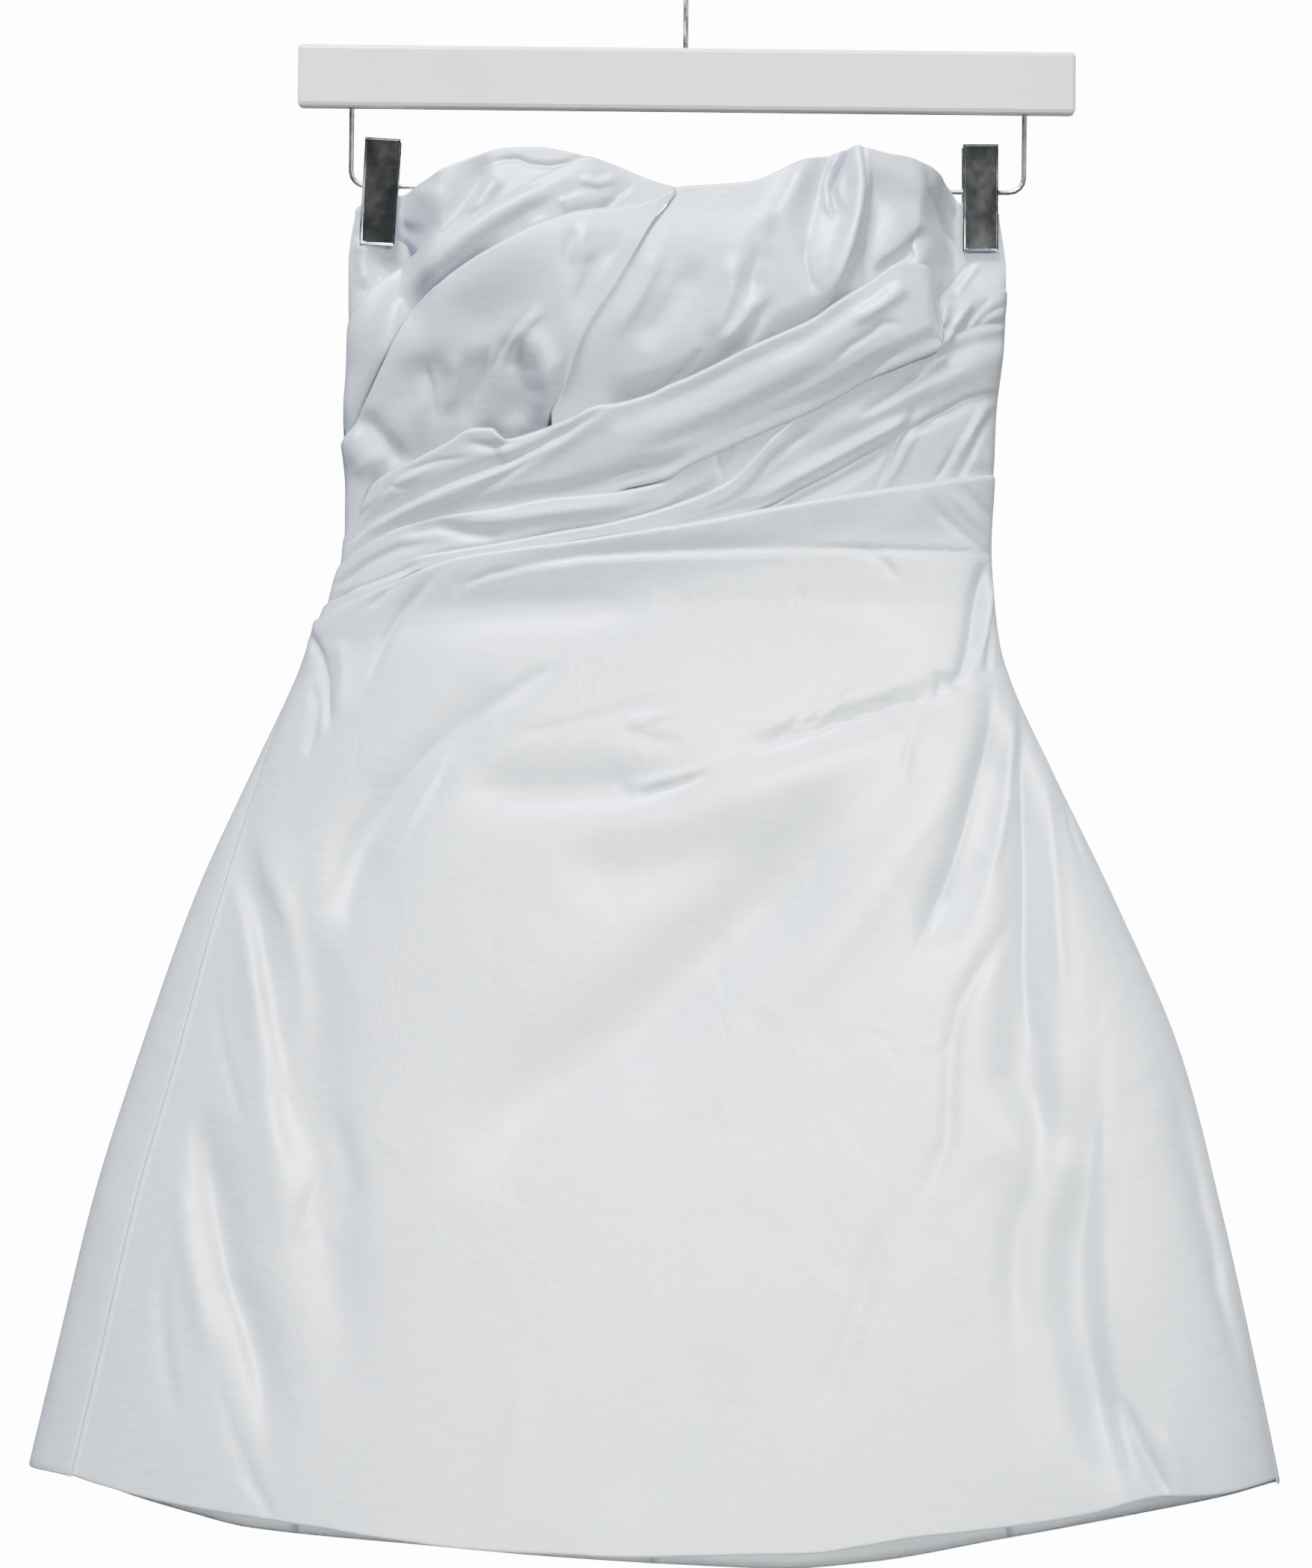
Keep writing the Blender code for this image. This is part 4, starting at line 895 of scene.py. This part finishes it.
# across, top edge, hem, rise at the top edge
SKIRT_FRONT = [
    (-322, 255, 706.5, 5.2),
    (-305, 255, 711.5, 5.2),
    (-262, 255, 721, 5.2),
    (-212, 255, 728, 5.2),
    (-190, 254, 731, 6.0),
    (-181, 248.5, 732, 5.8),
    (-164, 239, 735, 5.2),
    (-148, 232, 737, 5.2),
    (-132, 224.5, 739, 5.2),
    (-116, 219.5, 741, 5.2),
    (-84, 214.3, 743, 5.2),
    (-52, 210, 744, 5.2),
    (-24, 205, 745, 5.2),
    (11, 199, 744, 4.2),
    (43, 192.5, 743, 2.6),
    (75, 186.5, 742, 2.6),
    (101, 182, 738, 2.6),
    (131, 177, 733, 2.6),
    (150, 173.5, 731, 2.6),
    (176, 171, 728, 2.6),
    (221, 171, 721, 2.6),
    (262, 171, 712, 2.6),
    (280, 171, 712, 2.6),
    (325, 171, 704, 2.6),
]

# The skirt's grid, which is finest beside the side seams, below the wrap and at the hem
SKIRT_FROM = 300.0
HEM_ROUNDS = 16
SKIRT_COLUMNS = 196
SKIRT_ROWS = 216
SKIRT_ROUND = 360.0
SKIRT_COLUMNS_BY_SEAM = np.array([0.0, 0.4, 0.9, 1.4, 2.0, 3.0, 4.6])
SKIRT_ROWS_BY_HEM = np.array([3.0, 1.8, 0.9, 0.3, 0.0])
SKIRT_CROWDED_TOP = 1.15
SKIRT_TOP_REACH = 34.0
SKIRT_DEEPER = 1.5

# The turn left free at a side seam, and the pressed ridge beside the left one, below the hip
SEAM_GAP = 0.03
SEAM_RIDGE = 1.6
SEAM_RIDGE_IN = 1.4
SEAM_RIDGE_WIDE = 1.0
HIP = 330.0
HIP_EASE = 90.0

# Where the side seams lie in front of the outline: down, shift at the left, at the right
SEAM_SHIFT = np.array([
    (265, 0, 0),
    (300, 1, 0),
    (352, 7, 0),
    (397, 14, 1),
    (526, 23, 1.5),
    (711, 25, 2),
    (760, 25, 2),
])
SKIRT_FOLDS = [
    (-2.0, 7, 1.2, [(-108, 231), (-85, 225), (-70, 222),
        (-50, 219), (-20, 217), (20, 215), (50, 214), (80, 213)]),
    (-1.0, 2, 0.9, [(50, 213.5), (84, 213), (124, 213.5), (180, 214)]),
    (-1.0, 2, 1.2, [(-118, 236), (-112, 233), (-100, 228), (-84, 225)]),
    (-0.8, 1.5, 1.5, [(-115, 226), (-119, 233), (-117, 241)]),
    (-1.6, 2.4, 3, [(-124, 222), (-136, 236), (-148, 250), (-156, 264), (-162, 278), (-168, 292)]),
    (-1.0, 2, 2, [(-146, 232), (-156, 239), (-166, 249)]),
    (-0.6, 9, 9, [(-134, 264), (-112, 250), (-84, 244), (-50, 243), (-12, 245)]),
    (-2.2, 2, 3, [(-196, 254), (-190, 272), (-187, 286), (-186, 300), (-185, 314)]),
    (-1.2, 2, 3, [(-194, 284), (-192, 300), (-194, 315), (-197, 330)]),
    (1.4, 4, 4, [(-180, 262), (-178, 284), (-182, 306)]),
    (-1.8, 3.4, 5, [(-60, 264), (-68, 278), (-80, 285), (-90, 293),
        (-103, 300), (-116, 310), (-128, 320), (-140, 333), (-150, 348), (-160, 362)]),
    (-3.0, 6, 12, [(-140, 333), (-150, 348), (-162, 366), (-170, 385), (-175, 404), (-174, 428)]),
    (1.4, 1.8, 1.8, [(-122, 324), (-131, 340), (-137, 352), (-143, 364), (-150, 378)]),
    (-1.2, 1.6, 1.8, [(-118, 326), (-128, 344), (-135, 356), (-143, 370), (-151, 384)]),
    (-1.2, 12, 9, [(-120, 349), (-95, 347), (-60, 345), (-20, 343), (24, 334)]),
    (2.0, 2.4, 2, [(-28, 342), (-12, 338), (4, 334), (18, 329)]),
    (-1.8, 1.6, 2.2, [(-24, 347), (-8, 341), (6, 336), (20, 330)]),
    (-0.9, 2, 2, [(-27, 331), (-31, 339), (-26, 347)]),
    (-0.8, 3, 3, [(-34, 311), (-16, 315), (4, 319)]),
    (0.8, 2, 2, [(-30, 309), (-14, 304), (4, 298)]),
    (-0.8, 4, 4, [(-92, 317), (-60, 309), (-20, 298), (4, 288)]),
    (-2.6, 1.1, 6, [(190, 270), (172, 276), (160, 280), (150, 284), (140, 288), (125, 294),
        (110, 299), (95, 304), (80, 309), (62, 315), (45, 320), (30, 325), (14, 331)]),
    (1.2, 4, 1.2, [(184, 268), (160, 277), (140, 285), (110, 296), (80, 306), (45, 317), (20, 326)]),
    (-0.9, 1.6, 2, [(94, 278), (80, 295), (66, 311)]),
    (0.8, 1.6, 2, [(90, 288), (78, 300), (70, 310)]),
    (-0.8, 1.6, 2, [(76, 288), (62, 305), (48, 319)]),
    (-1.2, 1.4, 1.8, [(154, 268), (150, 278), (142, 287)]),
    (-1.0, 1.4, 1.8, [(136, 276), (140, 283), (136, 291)]),
    (-1.2, 16, 20, [(134, 296), (122, 318), (112, 335), (100, 348), (85, 362),
        (70, 378), (55, 392), (42, 408), (28, 428), (12, 448), (-14, 470), (-50, 500)]),
    (-1.2, 1.6, 2.4, [(129, 298), (122, 320), (119, 340)]),
    (1.4, 12, 14, [(148, 300), (144, 326), (134, 350), (116, 376), (96, 404), (70, 438), (40, 474)]),
    (-2.6, 2.6, 5, [(167, 278), (167, 300), (165, 320), (160, 336), (156, 350),
        (152, 365), (147, 380), (142, 395), (136, 408), (129, 424), (123, 440)]),
    (1.6, 3, 4, [(177, 284), (178, 310), (176, 345), (170, 372), (160, 398)]),
    (-2.6, 4, 4, [(182, 288), (185, 320), (186, 345),
        (187, 370), (187, 400), (186, 430), (188, 460), (194, 486)]),
    (1.4, 4, 4, [(196, 310), (198, 345), (200, 380), (202, 420), (206, 460)]),
    (-1.6, 4, 5, [(184, 400), (170, 420), (158, 440), (150, 455),
        (146, 476), (145, 500), (144, 526), (134, 552), (128, 572)]),
    (-0.8, 1.4, 1.6, [(200, 300), (206, 336), (210, 360), (218, 388)]),
    (-2.0, 8, 9, [(190, 450), (193, 490), (195, 520), (192, 545), (183, 572), (180, 600), (183, 644)]),
    (-2.6, 4, 13, [(226, 470), (221, 530), (219, 590),
        (221, 620), (225, 645), (230, 670), (235, 695), (239, 730)]),
    (1.0, 6, 4, [(228, 560), (228, 590), (230, 620), (234, 650), (240, 680), (246, 706)]),
    (-2.4, 2.4, 5, [(236, 656), (248, 684), (257, 700), (268, 718)]),
    (1.0, 3, 3, [(256, 676), (266, 694), (274, 712)]),
    (-1.8, 4, 5, [(276, 520), (285, 558), (291, 582), (291, 604), (300, 636), (308, 660)]),
    (-1.4, 6, 7, [(114, 558), (105, 590), (95, 625), (85, 650), (73, 690)]),
    (-1.8, 16, 20, [(28, 622), (12, 668), (-10, 700), (-46, 728)]),
    (0.9, 8, 8, [(-72, 640), (-84, 690), (-92, 738)]),
    (-4.6, 13, 6, [(-242, 344), (-235, 368), (-229, 392), (-222, 415),
        (-217, 444), (-213, 475), (-208, 505), (-200, 540), (-190, 560)]),
    (1.0, 5, 4, [(-226, 360), (-216, 388), (-205, 415), (-199, 445), (-196, 480)]),
    (2.0, 4, 6, [(-240, 388), (-228, 410), (-222, 440), (-216, 470), (-210, 500), (-205, 526)]),
    (-0.9, 1.4, 2, [(-245, 440), (-241, 475), (-235, 496), (-229, 516), (-227, 532)]),
    (-1.6, 6, 6, [(-180, 510), (-173, 538), (-169, 556), (-176, 578)]),
    (-1.0, 2, 3, [(-184, 540), (-192, 560), (-196, 576), (-199, 596)]),
    (-0.8, 1.6, 2, [(-192, 562), (-186, 576), (-183, 592)]),
    (-2.4, 9, 4, [(-256, 496), (-252, 530), (-246, 555), (-241, 580),
        (-235, 605), (-227, 625), (-221, 645), (-216, 668), (-210, 700)]),
    (1.6, 5, 6, [(-262, 540), (-256, 590), (-248, 620), (-240, 650)]),
    (-1.2, 3, 4, [(-279, 510), (-277, 560), (-281, 600), (-291, 640), (-302, 680)]),
    (-1.1, 3, 4, [(-272, 590), (-268, 640), (-261, 680)]),
    (-1.1, 1.6, 2.4, [(-239, 656), (-230, 685), (-222, 702), (-214, 722)]),
    (-1.0, 2, 3, [(-228, 700), (-214, 716), (-208, 732)]),
    (-0.8, 2, 2, [(128, 184), (140, 195), (155, 207), (170, 216)]),
    (0.7, 2, 2, [(140, 180), (152, 192), (166, 204)]),
    (-0.7, 2, 2, [(146, 176), (160, 189), (172, 200)]),
    (-0.7, 2, 2, [(92, 210), (108, 219), (116, 230)]),
    (-2.2, 3, 4, [(164, 214), (158, 240), (155, 262), (149, 284)]),
    (1.8, 2.4, 2.6, [(167, 222), (164, 245), (161, 270)]),
    (-1.8, 1.6, 1.8, [(169, 238), (167, 250), (165, 264), (164, 278)]),
]


def seam_turn(down, side):
    """The turn of a side seam."""
    if side == "left":
        return turn_at(read(FORM, FORM_LEFT, down) + read(SEAM_SHIFT, 1, down), down)
    return turn_at(read(FORM, FORM_RIGHT, down) - read(SEAM_SHIFT, 2, down), down)


def skirt_points():
    """The points of the skirt front, row by row from the wrap to the hem."""
    table = np.array(SKIRT_FRONT, float)
    even = np.linspace(-1, 1, SKIRT_COLUMNS + 1)
    share = ((1 - EVEN_TURNS) * even + EVEN_TURNS * np.degrees(np.arcsin(even)) / 90 + 1) / 2
    beside = SKIRT_COLUMNS_BY_SEAM / SKIRT_ROUND
    share = np.concatenate((beside, share[1:-1], 1 - beside[::-1]))

    def turn_of(down):
        left = seam_turn(down, "left") + SEAM_GAP
        right = seam_turn(down, "right") - SEAM_GAP
        return left + (right - left) * share

    def level(column):
        down = np.full(share.shape, SKIRT_FROM)
        for _ in range(HEM_ROUNDS):
            down = (down + read(table, column, form(turn_of(down), down)[..., 0])) / 2
        return down

    top = level(TOP)
    bottom = level(BOTTOM)
    close = np.concatenate(([0.0], EDGE_ROWS))[:, None]
    tail = SKIRT_ROWS_BY_HEM[:, None]
    body = np.linspace(0, 1, SKIRT_ROWS + 1)[1:-1, None] ** SKIRT_CROWDED_TOP
    span = bottom - tail[0] - top - close[-1]
    down = np.concatenate((top + close, top + close[-1] + span * body, bottom - tail), axis=0)
    turn = turn_of(down)
    across = form(turn, down)[..., 0]
    from_top = down - top
    top_across = form(turn_of(top), top)[..., 0]
    rise = read(table, RISE_TOP, top_across) * (1 - ease(from_top / SKIRT_TOP_REACH))
    creased = relief(FRONT_FOLDS, across, down) + SKIRT_DEEPER * relief(SKIRT_FOLDS, across, down)
    free = seam_fade(turn, turn[:, :1], turn[:, -1:])
    out = LIFT + rise * (SEAM_RISE + (1 - SEAM_RISE) * free) + creased * free
    out = out - rolled(from_top, ROLL) - rolled(bottom - down, HEM_ROLL)
    from_left, from_right = from_ends(across)
    ridge = SEAM_RIDGE * np.exp(-(((from_left - SEAM_RIDGE_IN) / SEAM_RIDGE_WIDE) ** 2))
    out = out + ease((down - HIP) / HIP_EASE) * ridge
    return stand_off(turn, down, out - seam_sink(from_left) - seam_sink(from_right))


skirt_front = cloth_object("skirt_front", skirt_points())
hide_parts("skirt_front")


# The back: four full-length gores, plain, with soft flutes below the hip. The middle seam
# closes over a concealed zip, so only the seam shows.
BACK_FOLDS = [
    (-8, 26, 26, [(-150, 330), (-186, 480), (-214, 640), (-226, 760)]),
    (6, 28, 28, [(-96, 350), (-118, 500), (-136, 640), (-146, 760)]),
    (-7, 30, 30, [(-22, 380), (-38, 520), (-52, 660), (-60, 760)]),
    (6, 28, 28, [(70, 360), (84, 500), (98, 640), (104, 760)]),
    (-8, 26, 26, [(140, 330), (172, 480), (196, 640), (208, 760)]),
]
BACK_CREASES = [
    (-0.9, 3, 7, [(-16, 205), (-52, 214), (-96, 232)]),
    (-0.8, 3, 7, [(14, 210), (46, 219), (88, 240)]),
    (0.8, 4, 6, [(-20, 222), (-60, 236), (-104, 262)]),
    (-1.0, 4, 8, [(10, 250), (54, 268), (110, 300)]),
    (-0.9, 4, 9, [(-12, 262), (-56, 286), (-118, 330)]),
    (0.7, 3, 6, [(12, 188), (60, 192), (104, 204)]),
    (-0.8, 4, 8, [(-100, 150), (-130, 176), (-148, 214)]),
    (-0.7, 4, 8, [(96, 140), (124, 172), (138, 216)]),
    (-1.2, 5, 9, [(-4, 330), (-30, 392), (-44, 470)]),
    (1.0, 5, 9, [(22, 340), (52, 410), (64, 500)]),
    (-1.0, 5, 8, [(120, 250), (150, 300), (170, 370)]),
    (-1.1, 5, 8, [(-136, 260), (-166, 312), (-190, 390)]),
]
# turn, down
BACK_TOP = np.array([(90, 31), (112, 27), (150, 30), (180, 32), (214, 30), (250, 27), (270, 33)], float)
# across, down
BACK_HEM = np.array([
    (-345, 705),
    (-319, 708.5),
    (-300, 719.5),
    (-262, 732),
    (-226, 741),
    (-124, 751),
    (-60, 756),
    (20, 760),
    (60, 761),
    (107, 757),
    (180, 743),
    (250, 728.5),
    (300, 716.5),
    (327, 706.5),
], float)

# The back's grid, its tone, which darkens its satin a little as painted shade, the turn
# between its middle and side seams, and how its flutes begin below the hip and its creases
# end towards the sides
BACK_ROWS = 184
# Painted shade: the back's satin is a slightly darker copy of the front's satin
BACK_SHADED_TONE = 0.97
BACK_FROM = 40.0
HEM_FROM = 700.0
SIDE_BACK_SEAM = 31.0
GORE_CROWDED = 0.036
GORE_LEAST_WIDE = 0.05
HANG_FROM = 300.0
HANG_EASE = 120.0
BEHIND_FROM = 100.0
BEHIND_EASE = 20.0

# node, turn or side seam at its start and at its end, columns, area of its cut
GORES = (
    ("back_side_right", "right_side", 180 - SIDE_BACK_SEAM, 58, 0.092),
    ("back_centre_right", 180 - SIDE_BACK_SEAM, 180.0, 46, 0.125),
    ("back_centre_left", 180.0, 180 + SIDE_BACK_SEAM, 46, 0.125),
    ("back_side_left", 180 + SIDE_BACK_SEAM, "left_side", 58, 0.095),
)


def gore_points(start, end, columns):
    """The points of a back gore between two seams."""
    share = np.linspace(0, 1, columns + 1)
    share = share - GORE_CROWDED * np.sin(2 * math.pi * share)

    def turn_of(down):
        limits = []
        for seam in (start, end):
            if seam == "right_side":
                limits.append(seam_turn(down, "right") + SEAM_GAP)
            elif seam == "left_side":
                limits.append(360 + seam_turn(down, "left") - SEAM_GAP)
            else:
                limits.append(seam + 0 * down)
        return limits[0] + (limits[1] - limits[0]) * share

    hem = np.full(share.shape, HEM_FROM)
    for _ in range(HEM_ROUNDS):
        hem = (hem + read(BACK_HEM, 1, form(turn_of(hem), hem)[..., 0])) / 2
    top = read(BACK_TOP, 1, turn_of(np.full(share.shape, BACK_FROM)))
    span = hem - top
    close = np.concatenate(([0.0], EDGE_ROWS[:2]))[:, None]
    body = np.linspace(0, 1, BACK_ROWS + 1)[1:-1, None]
    inner = top + close[-1] + (span - 2 * close[-1]) * body
    down = np.concatenate((top + close, inner, hem - close[::-1]), axis=0)
    turn = turn_of(down)
    across = form(turn, down)[..., 0]
    hang = ease((down - HANG_FROM) / HANG_EASE)
    behind = ease((turn - BEHIND_FROM) / BEHIND_EASE) * ease((360 - BEHIND_FROM - turn) / BEHIND_EASE)
    out = LIFT + behind * (hang * relief(BACK_FOLDS, across, down) + relief(BACK_CREASES, across, down))
    out = out - rolled(down - top, HEM_ROLL) - rolled(hem - down, HEM_ROLL)
    from_start, from_end = from_ends(across, GORE_LEAST_WIDE)
    return stand_off(turn, down, out - seam_sink(from_start) - seam_sink(from_end))


for name, start, end, columns, flat_area in GORES:
    # Each gore's satin is darkened by the back's tone, which is painted shade
    gore = cloth_object(name, gore_points(start, end, columns), BACK_SHADED_TONE)
    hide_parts(name)


# The bar: wood under sprayed off-white paint, with softened corners. It keeps its solid. The
# grain runs along it and shows only faintly through the paint.
PAINT_HEX = "#fdf8f0"
PAINT_WORN_HEX = "#f8f2e8"
GRAIN_DEEP = 0.1

# Grain lines and worn places, to a metre of wood
GRAINS = (10.0, 300.0, 300.0)
WORN_PLACES = 16.0


def painted_wood(name):
    """Sprayed satin paint over planed wood: nearly even, with a faint long grain below it."""
    material, tree, shader = new_material(name)
    place = add_node(tree, "ShaderNodeTexCoord").outputs["Object"]
    along = add_node(tree, "ShaderNodeMapping", {"Scale": GRAINS}, {"Vector": place}).outputs[0]
    grain = add_node(tree, "ShaderNodeTexNoise", {"Scale": 1.0, "Detail": 4.0}, {"Vector": along})
    wear = add_node(tree, "ShaderNodeTexNoise", {"Scale": WORN_PLACES, "Detail": 2.0}, {"Vector": place})
    tint = add_node(tree, "ShaderNodeValToRGB", links={"Fac": wear.outputs["Fac"]})
    fresh, worn = tint.color_ramp.elements
    fresh.position = 0.35
    fresh.color = linear(PAINT_HEX)
    worn.position = 0.7
    worn.color = linear(PAINT_WORN_HEX)
    ridges = add_node(
        tree,
        "ShaderNodeBump",
        {"Strength": 0.12, "Distance": GRAIN_DEEP * MM},
        {"Height": grain.outputs["Fac"]},
    )
    set_node(
        tree,
        shader,
        {"Roughness": 0.42, "Coat Weight": 0.15},
        {"Base Color": tint.outputs["Color"], "Normal": ridges.outputs["Normal"]},
    )
    return material


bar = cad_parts["hanger_bar"]
bar.data.materials.clear()
bar.data.materials.append(painted_wood("painted_beech"))


# The clips, hook and rod: chrome-plated steel, dulled by a little haze. The plates are pressed
# trays whose rims catch the light, while their flat faces mirror the room's dim lower part.
CHROME_HEX = "#f4f6f8"
CHROME_HAZE_HEX = "#a9adb0"

# Handling marks and patches of haze, to a metre of plate
HANDLING_MARKS = 160.0
HAZE_PATCHES = 75.0


def chrome(name, roughness, mottle):
    """Bright chrome plate over steel, with a faint mottle of handling marks."""
    material, tree, shader = new_material(name)
    place = add_node(tree, "ShaderNodeTexCoord").outputs["Object"]
    marks = add_node(tree, "ShaderNodeTexNoise", {"Scale": HANDLING_MARKS, "Detail": 4.0}, {"Vector": place})
    haze = add_node(tree, "ShaderNodeTexNoise", {"Scale": HAZE_PATCHES, "Detail": 3.0}, {"Vector": place})
    tint = add_node(tree, "ShaderNodeValToRGB", links={"Fac": haze.outputs["Fac"]})
    hazy, clear = tint.color_ramp.elements
    hazy.position = 0.38
    hazy.color = linear(CHROME_HAZE_HEX)
    clear.position = 0.66
    clear.color = linear(CHROME_HEX)
    rub = add_node(
        tree,
        "ShaderNodeMapRange",
        {"To Min": roughness, "To Max": roughness + mottle},
        {"Value": marks.outputs["Fac"]},
    )
    set_node(
        tree,
        shader,
        {"Metallic": 1.0},
        {"Base Color": tint.outputs["Color"], "Roughness": rub.outputs["Result"]},
    )
    return material


plated = chrome("chrome_plated_steel", roughness=0.26, mottle=0.12)
handled = chrome("chrome_plated_jaw", roughness=0.06, mottle=0.16)
for name in ("hanger_hook", "clip_rod", "left_clip_barrel", "right_clip_barrel"):
    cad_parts[name].data.materials.clear()
    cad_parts[name].data.materials.append(plated)

CLIP_TOP = -6.8
CLIP_DEEP = 3.4
CLIP_METAL = 1.1
CLIP_RIM = 1.3
CLIP_ROUND = 0.5
CLIP_BITE = 2.1
CLIP_HINGE = 18.5
CLIP_HINGE_REACH = 3.7
CLIP_LEANS = (2.8, -0.5)


def jaw(name, across, lean, side):
    """One jaw: a pressed tray with a rounded rim, open away from the cloth."""
    tall = CLIP_FOOT - CLIP_TOP
    bm = bmesh.new()
    bmesh.ops.create_cube(bm, size=1.0)
    bmesh.ops.scale(bm, vec=(CLIP_WIDE, CLIP_DEEP, tall), verts=bm.verts)
    bmesh.ops.translate(bm, vec=(0, -CLIP_DEEP / 2, 0), verts=bm.verts)
    face = min(bm.faces, key=lambda face: face.calc_center_median().y)
    bmesh.ops.inset_region(bm, faces=[face], thickness=CLIP_RIM)
    bmesh.ops.translate(bm, vec=(0, CLIP_DEEP - CLIP_METAL, 0), verts=face.verts)
    bmesh.ops.bevel(
        bm,
        geom=list(bm.edges),
        offset=CLIP_ROUND,
        segments=3,
        profile=0.5,
        affect="EDGES",
        clamp_overlap=True,
        material=-1,
    )
    if side < 0:
        bmesh.ops.rotate(bm, cent=(0, 0, 0), matrix=Matrix.Rotation(math.pi, 3, "Z"), verts=bm.verts)
    angle = math.asin((CLIP_HINGE_REACH - CLIP_BITE) / (CLIP_FOOT - CLIP_HINGE))
    middle = (CLIP_TOP + CLIP_FOOT) / 2
    outward = CLIP_BITE + (CLIP_FOOT - middle) * math.sin(angle)
    turned = Euler((side * angle, math.radians(lean), 0.0), "YXZ").to_matrix().to_4x4()
    placed = Matrix.Translation((across, -side * outward, -(middle + CUP_TOPS))) @ turned
    bmesh.ops.transform(bm, matrix=Matrix.Scale(MM, 4) @ placed, verts=bm.verts)
    for face in bm.faces:
        face.smooth = min(line.calc_length() for line in face.edges) < CLIP_ROUND * MM
    return part_object(bm, name, handled)


for hand, across, lean in zip(("left", "right"), CLIP_PLACES, CLIP_LEANS):
    for part, side in (("front", 1), ("back", -1)):
        tray = jaw(f"{hand}_clip_{part}_tray", across, lean, side)
        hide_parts(f"{hand}_clip_{part}")
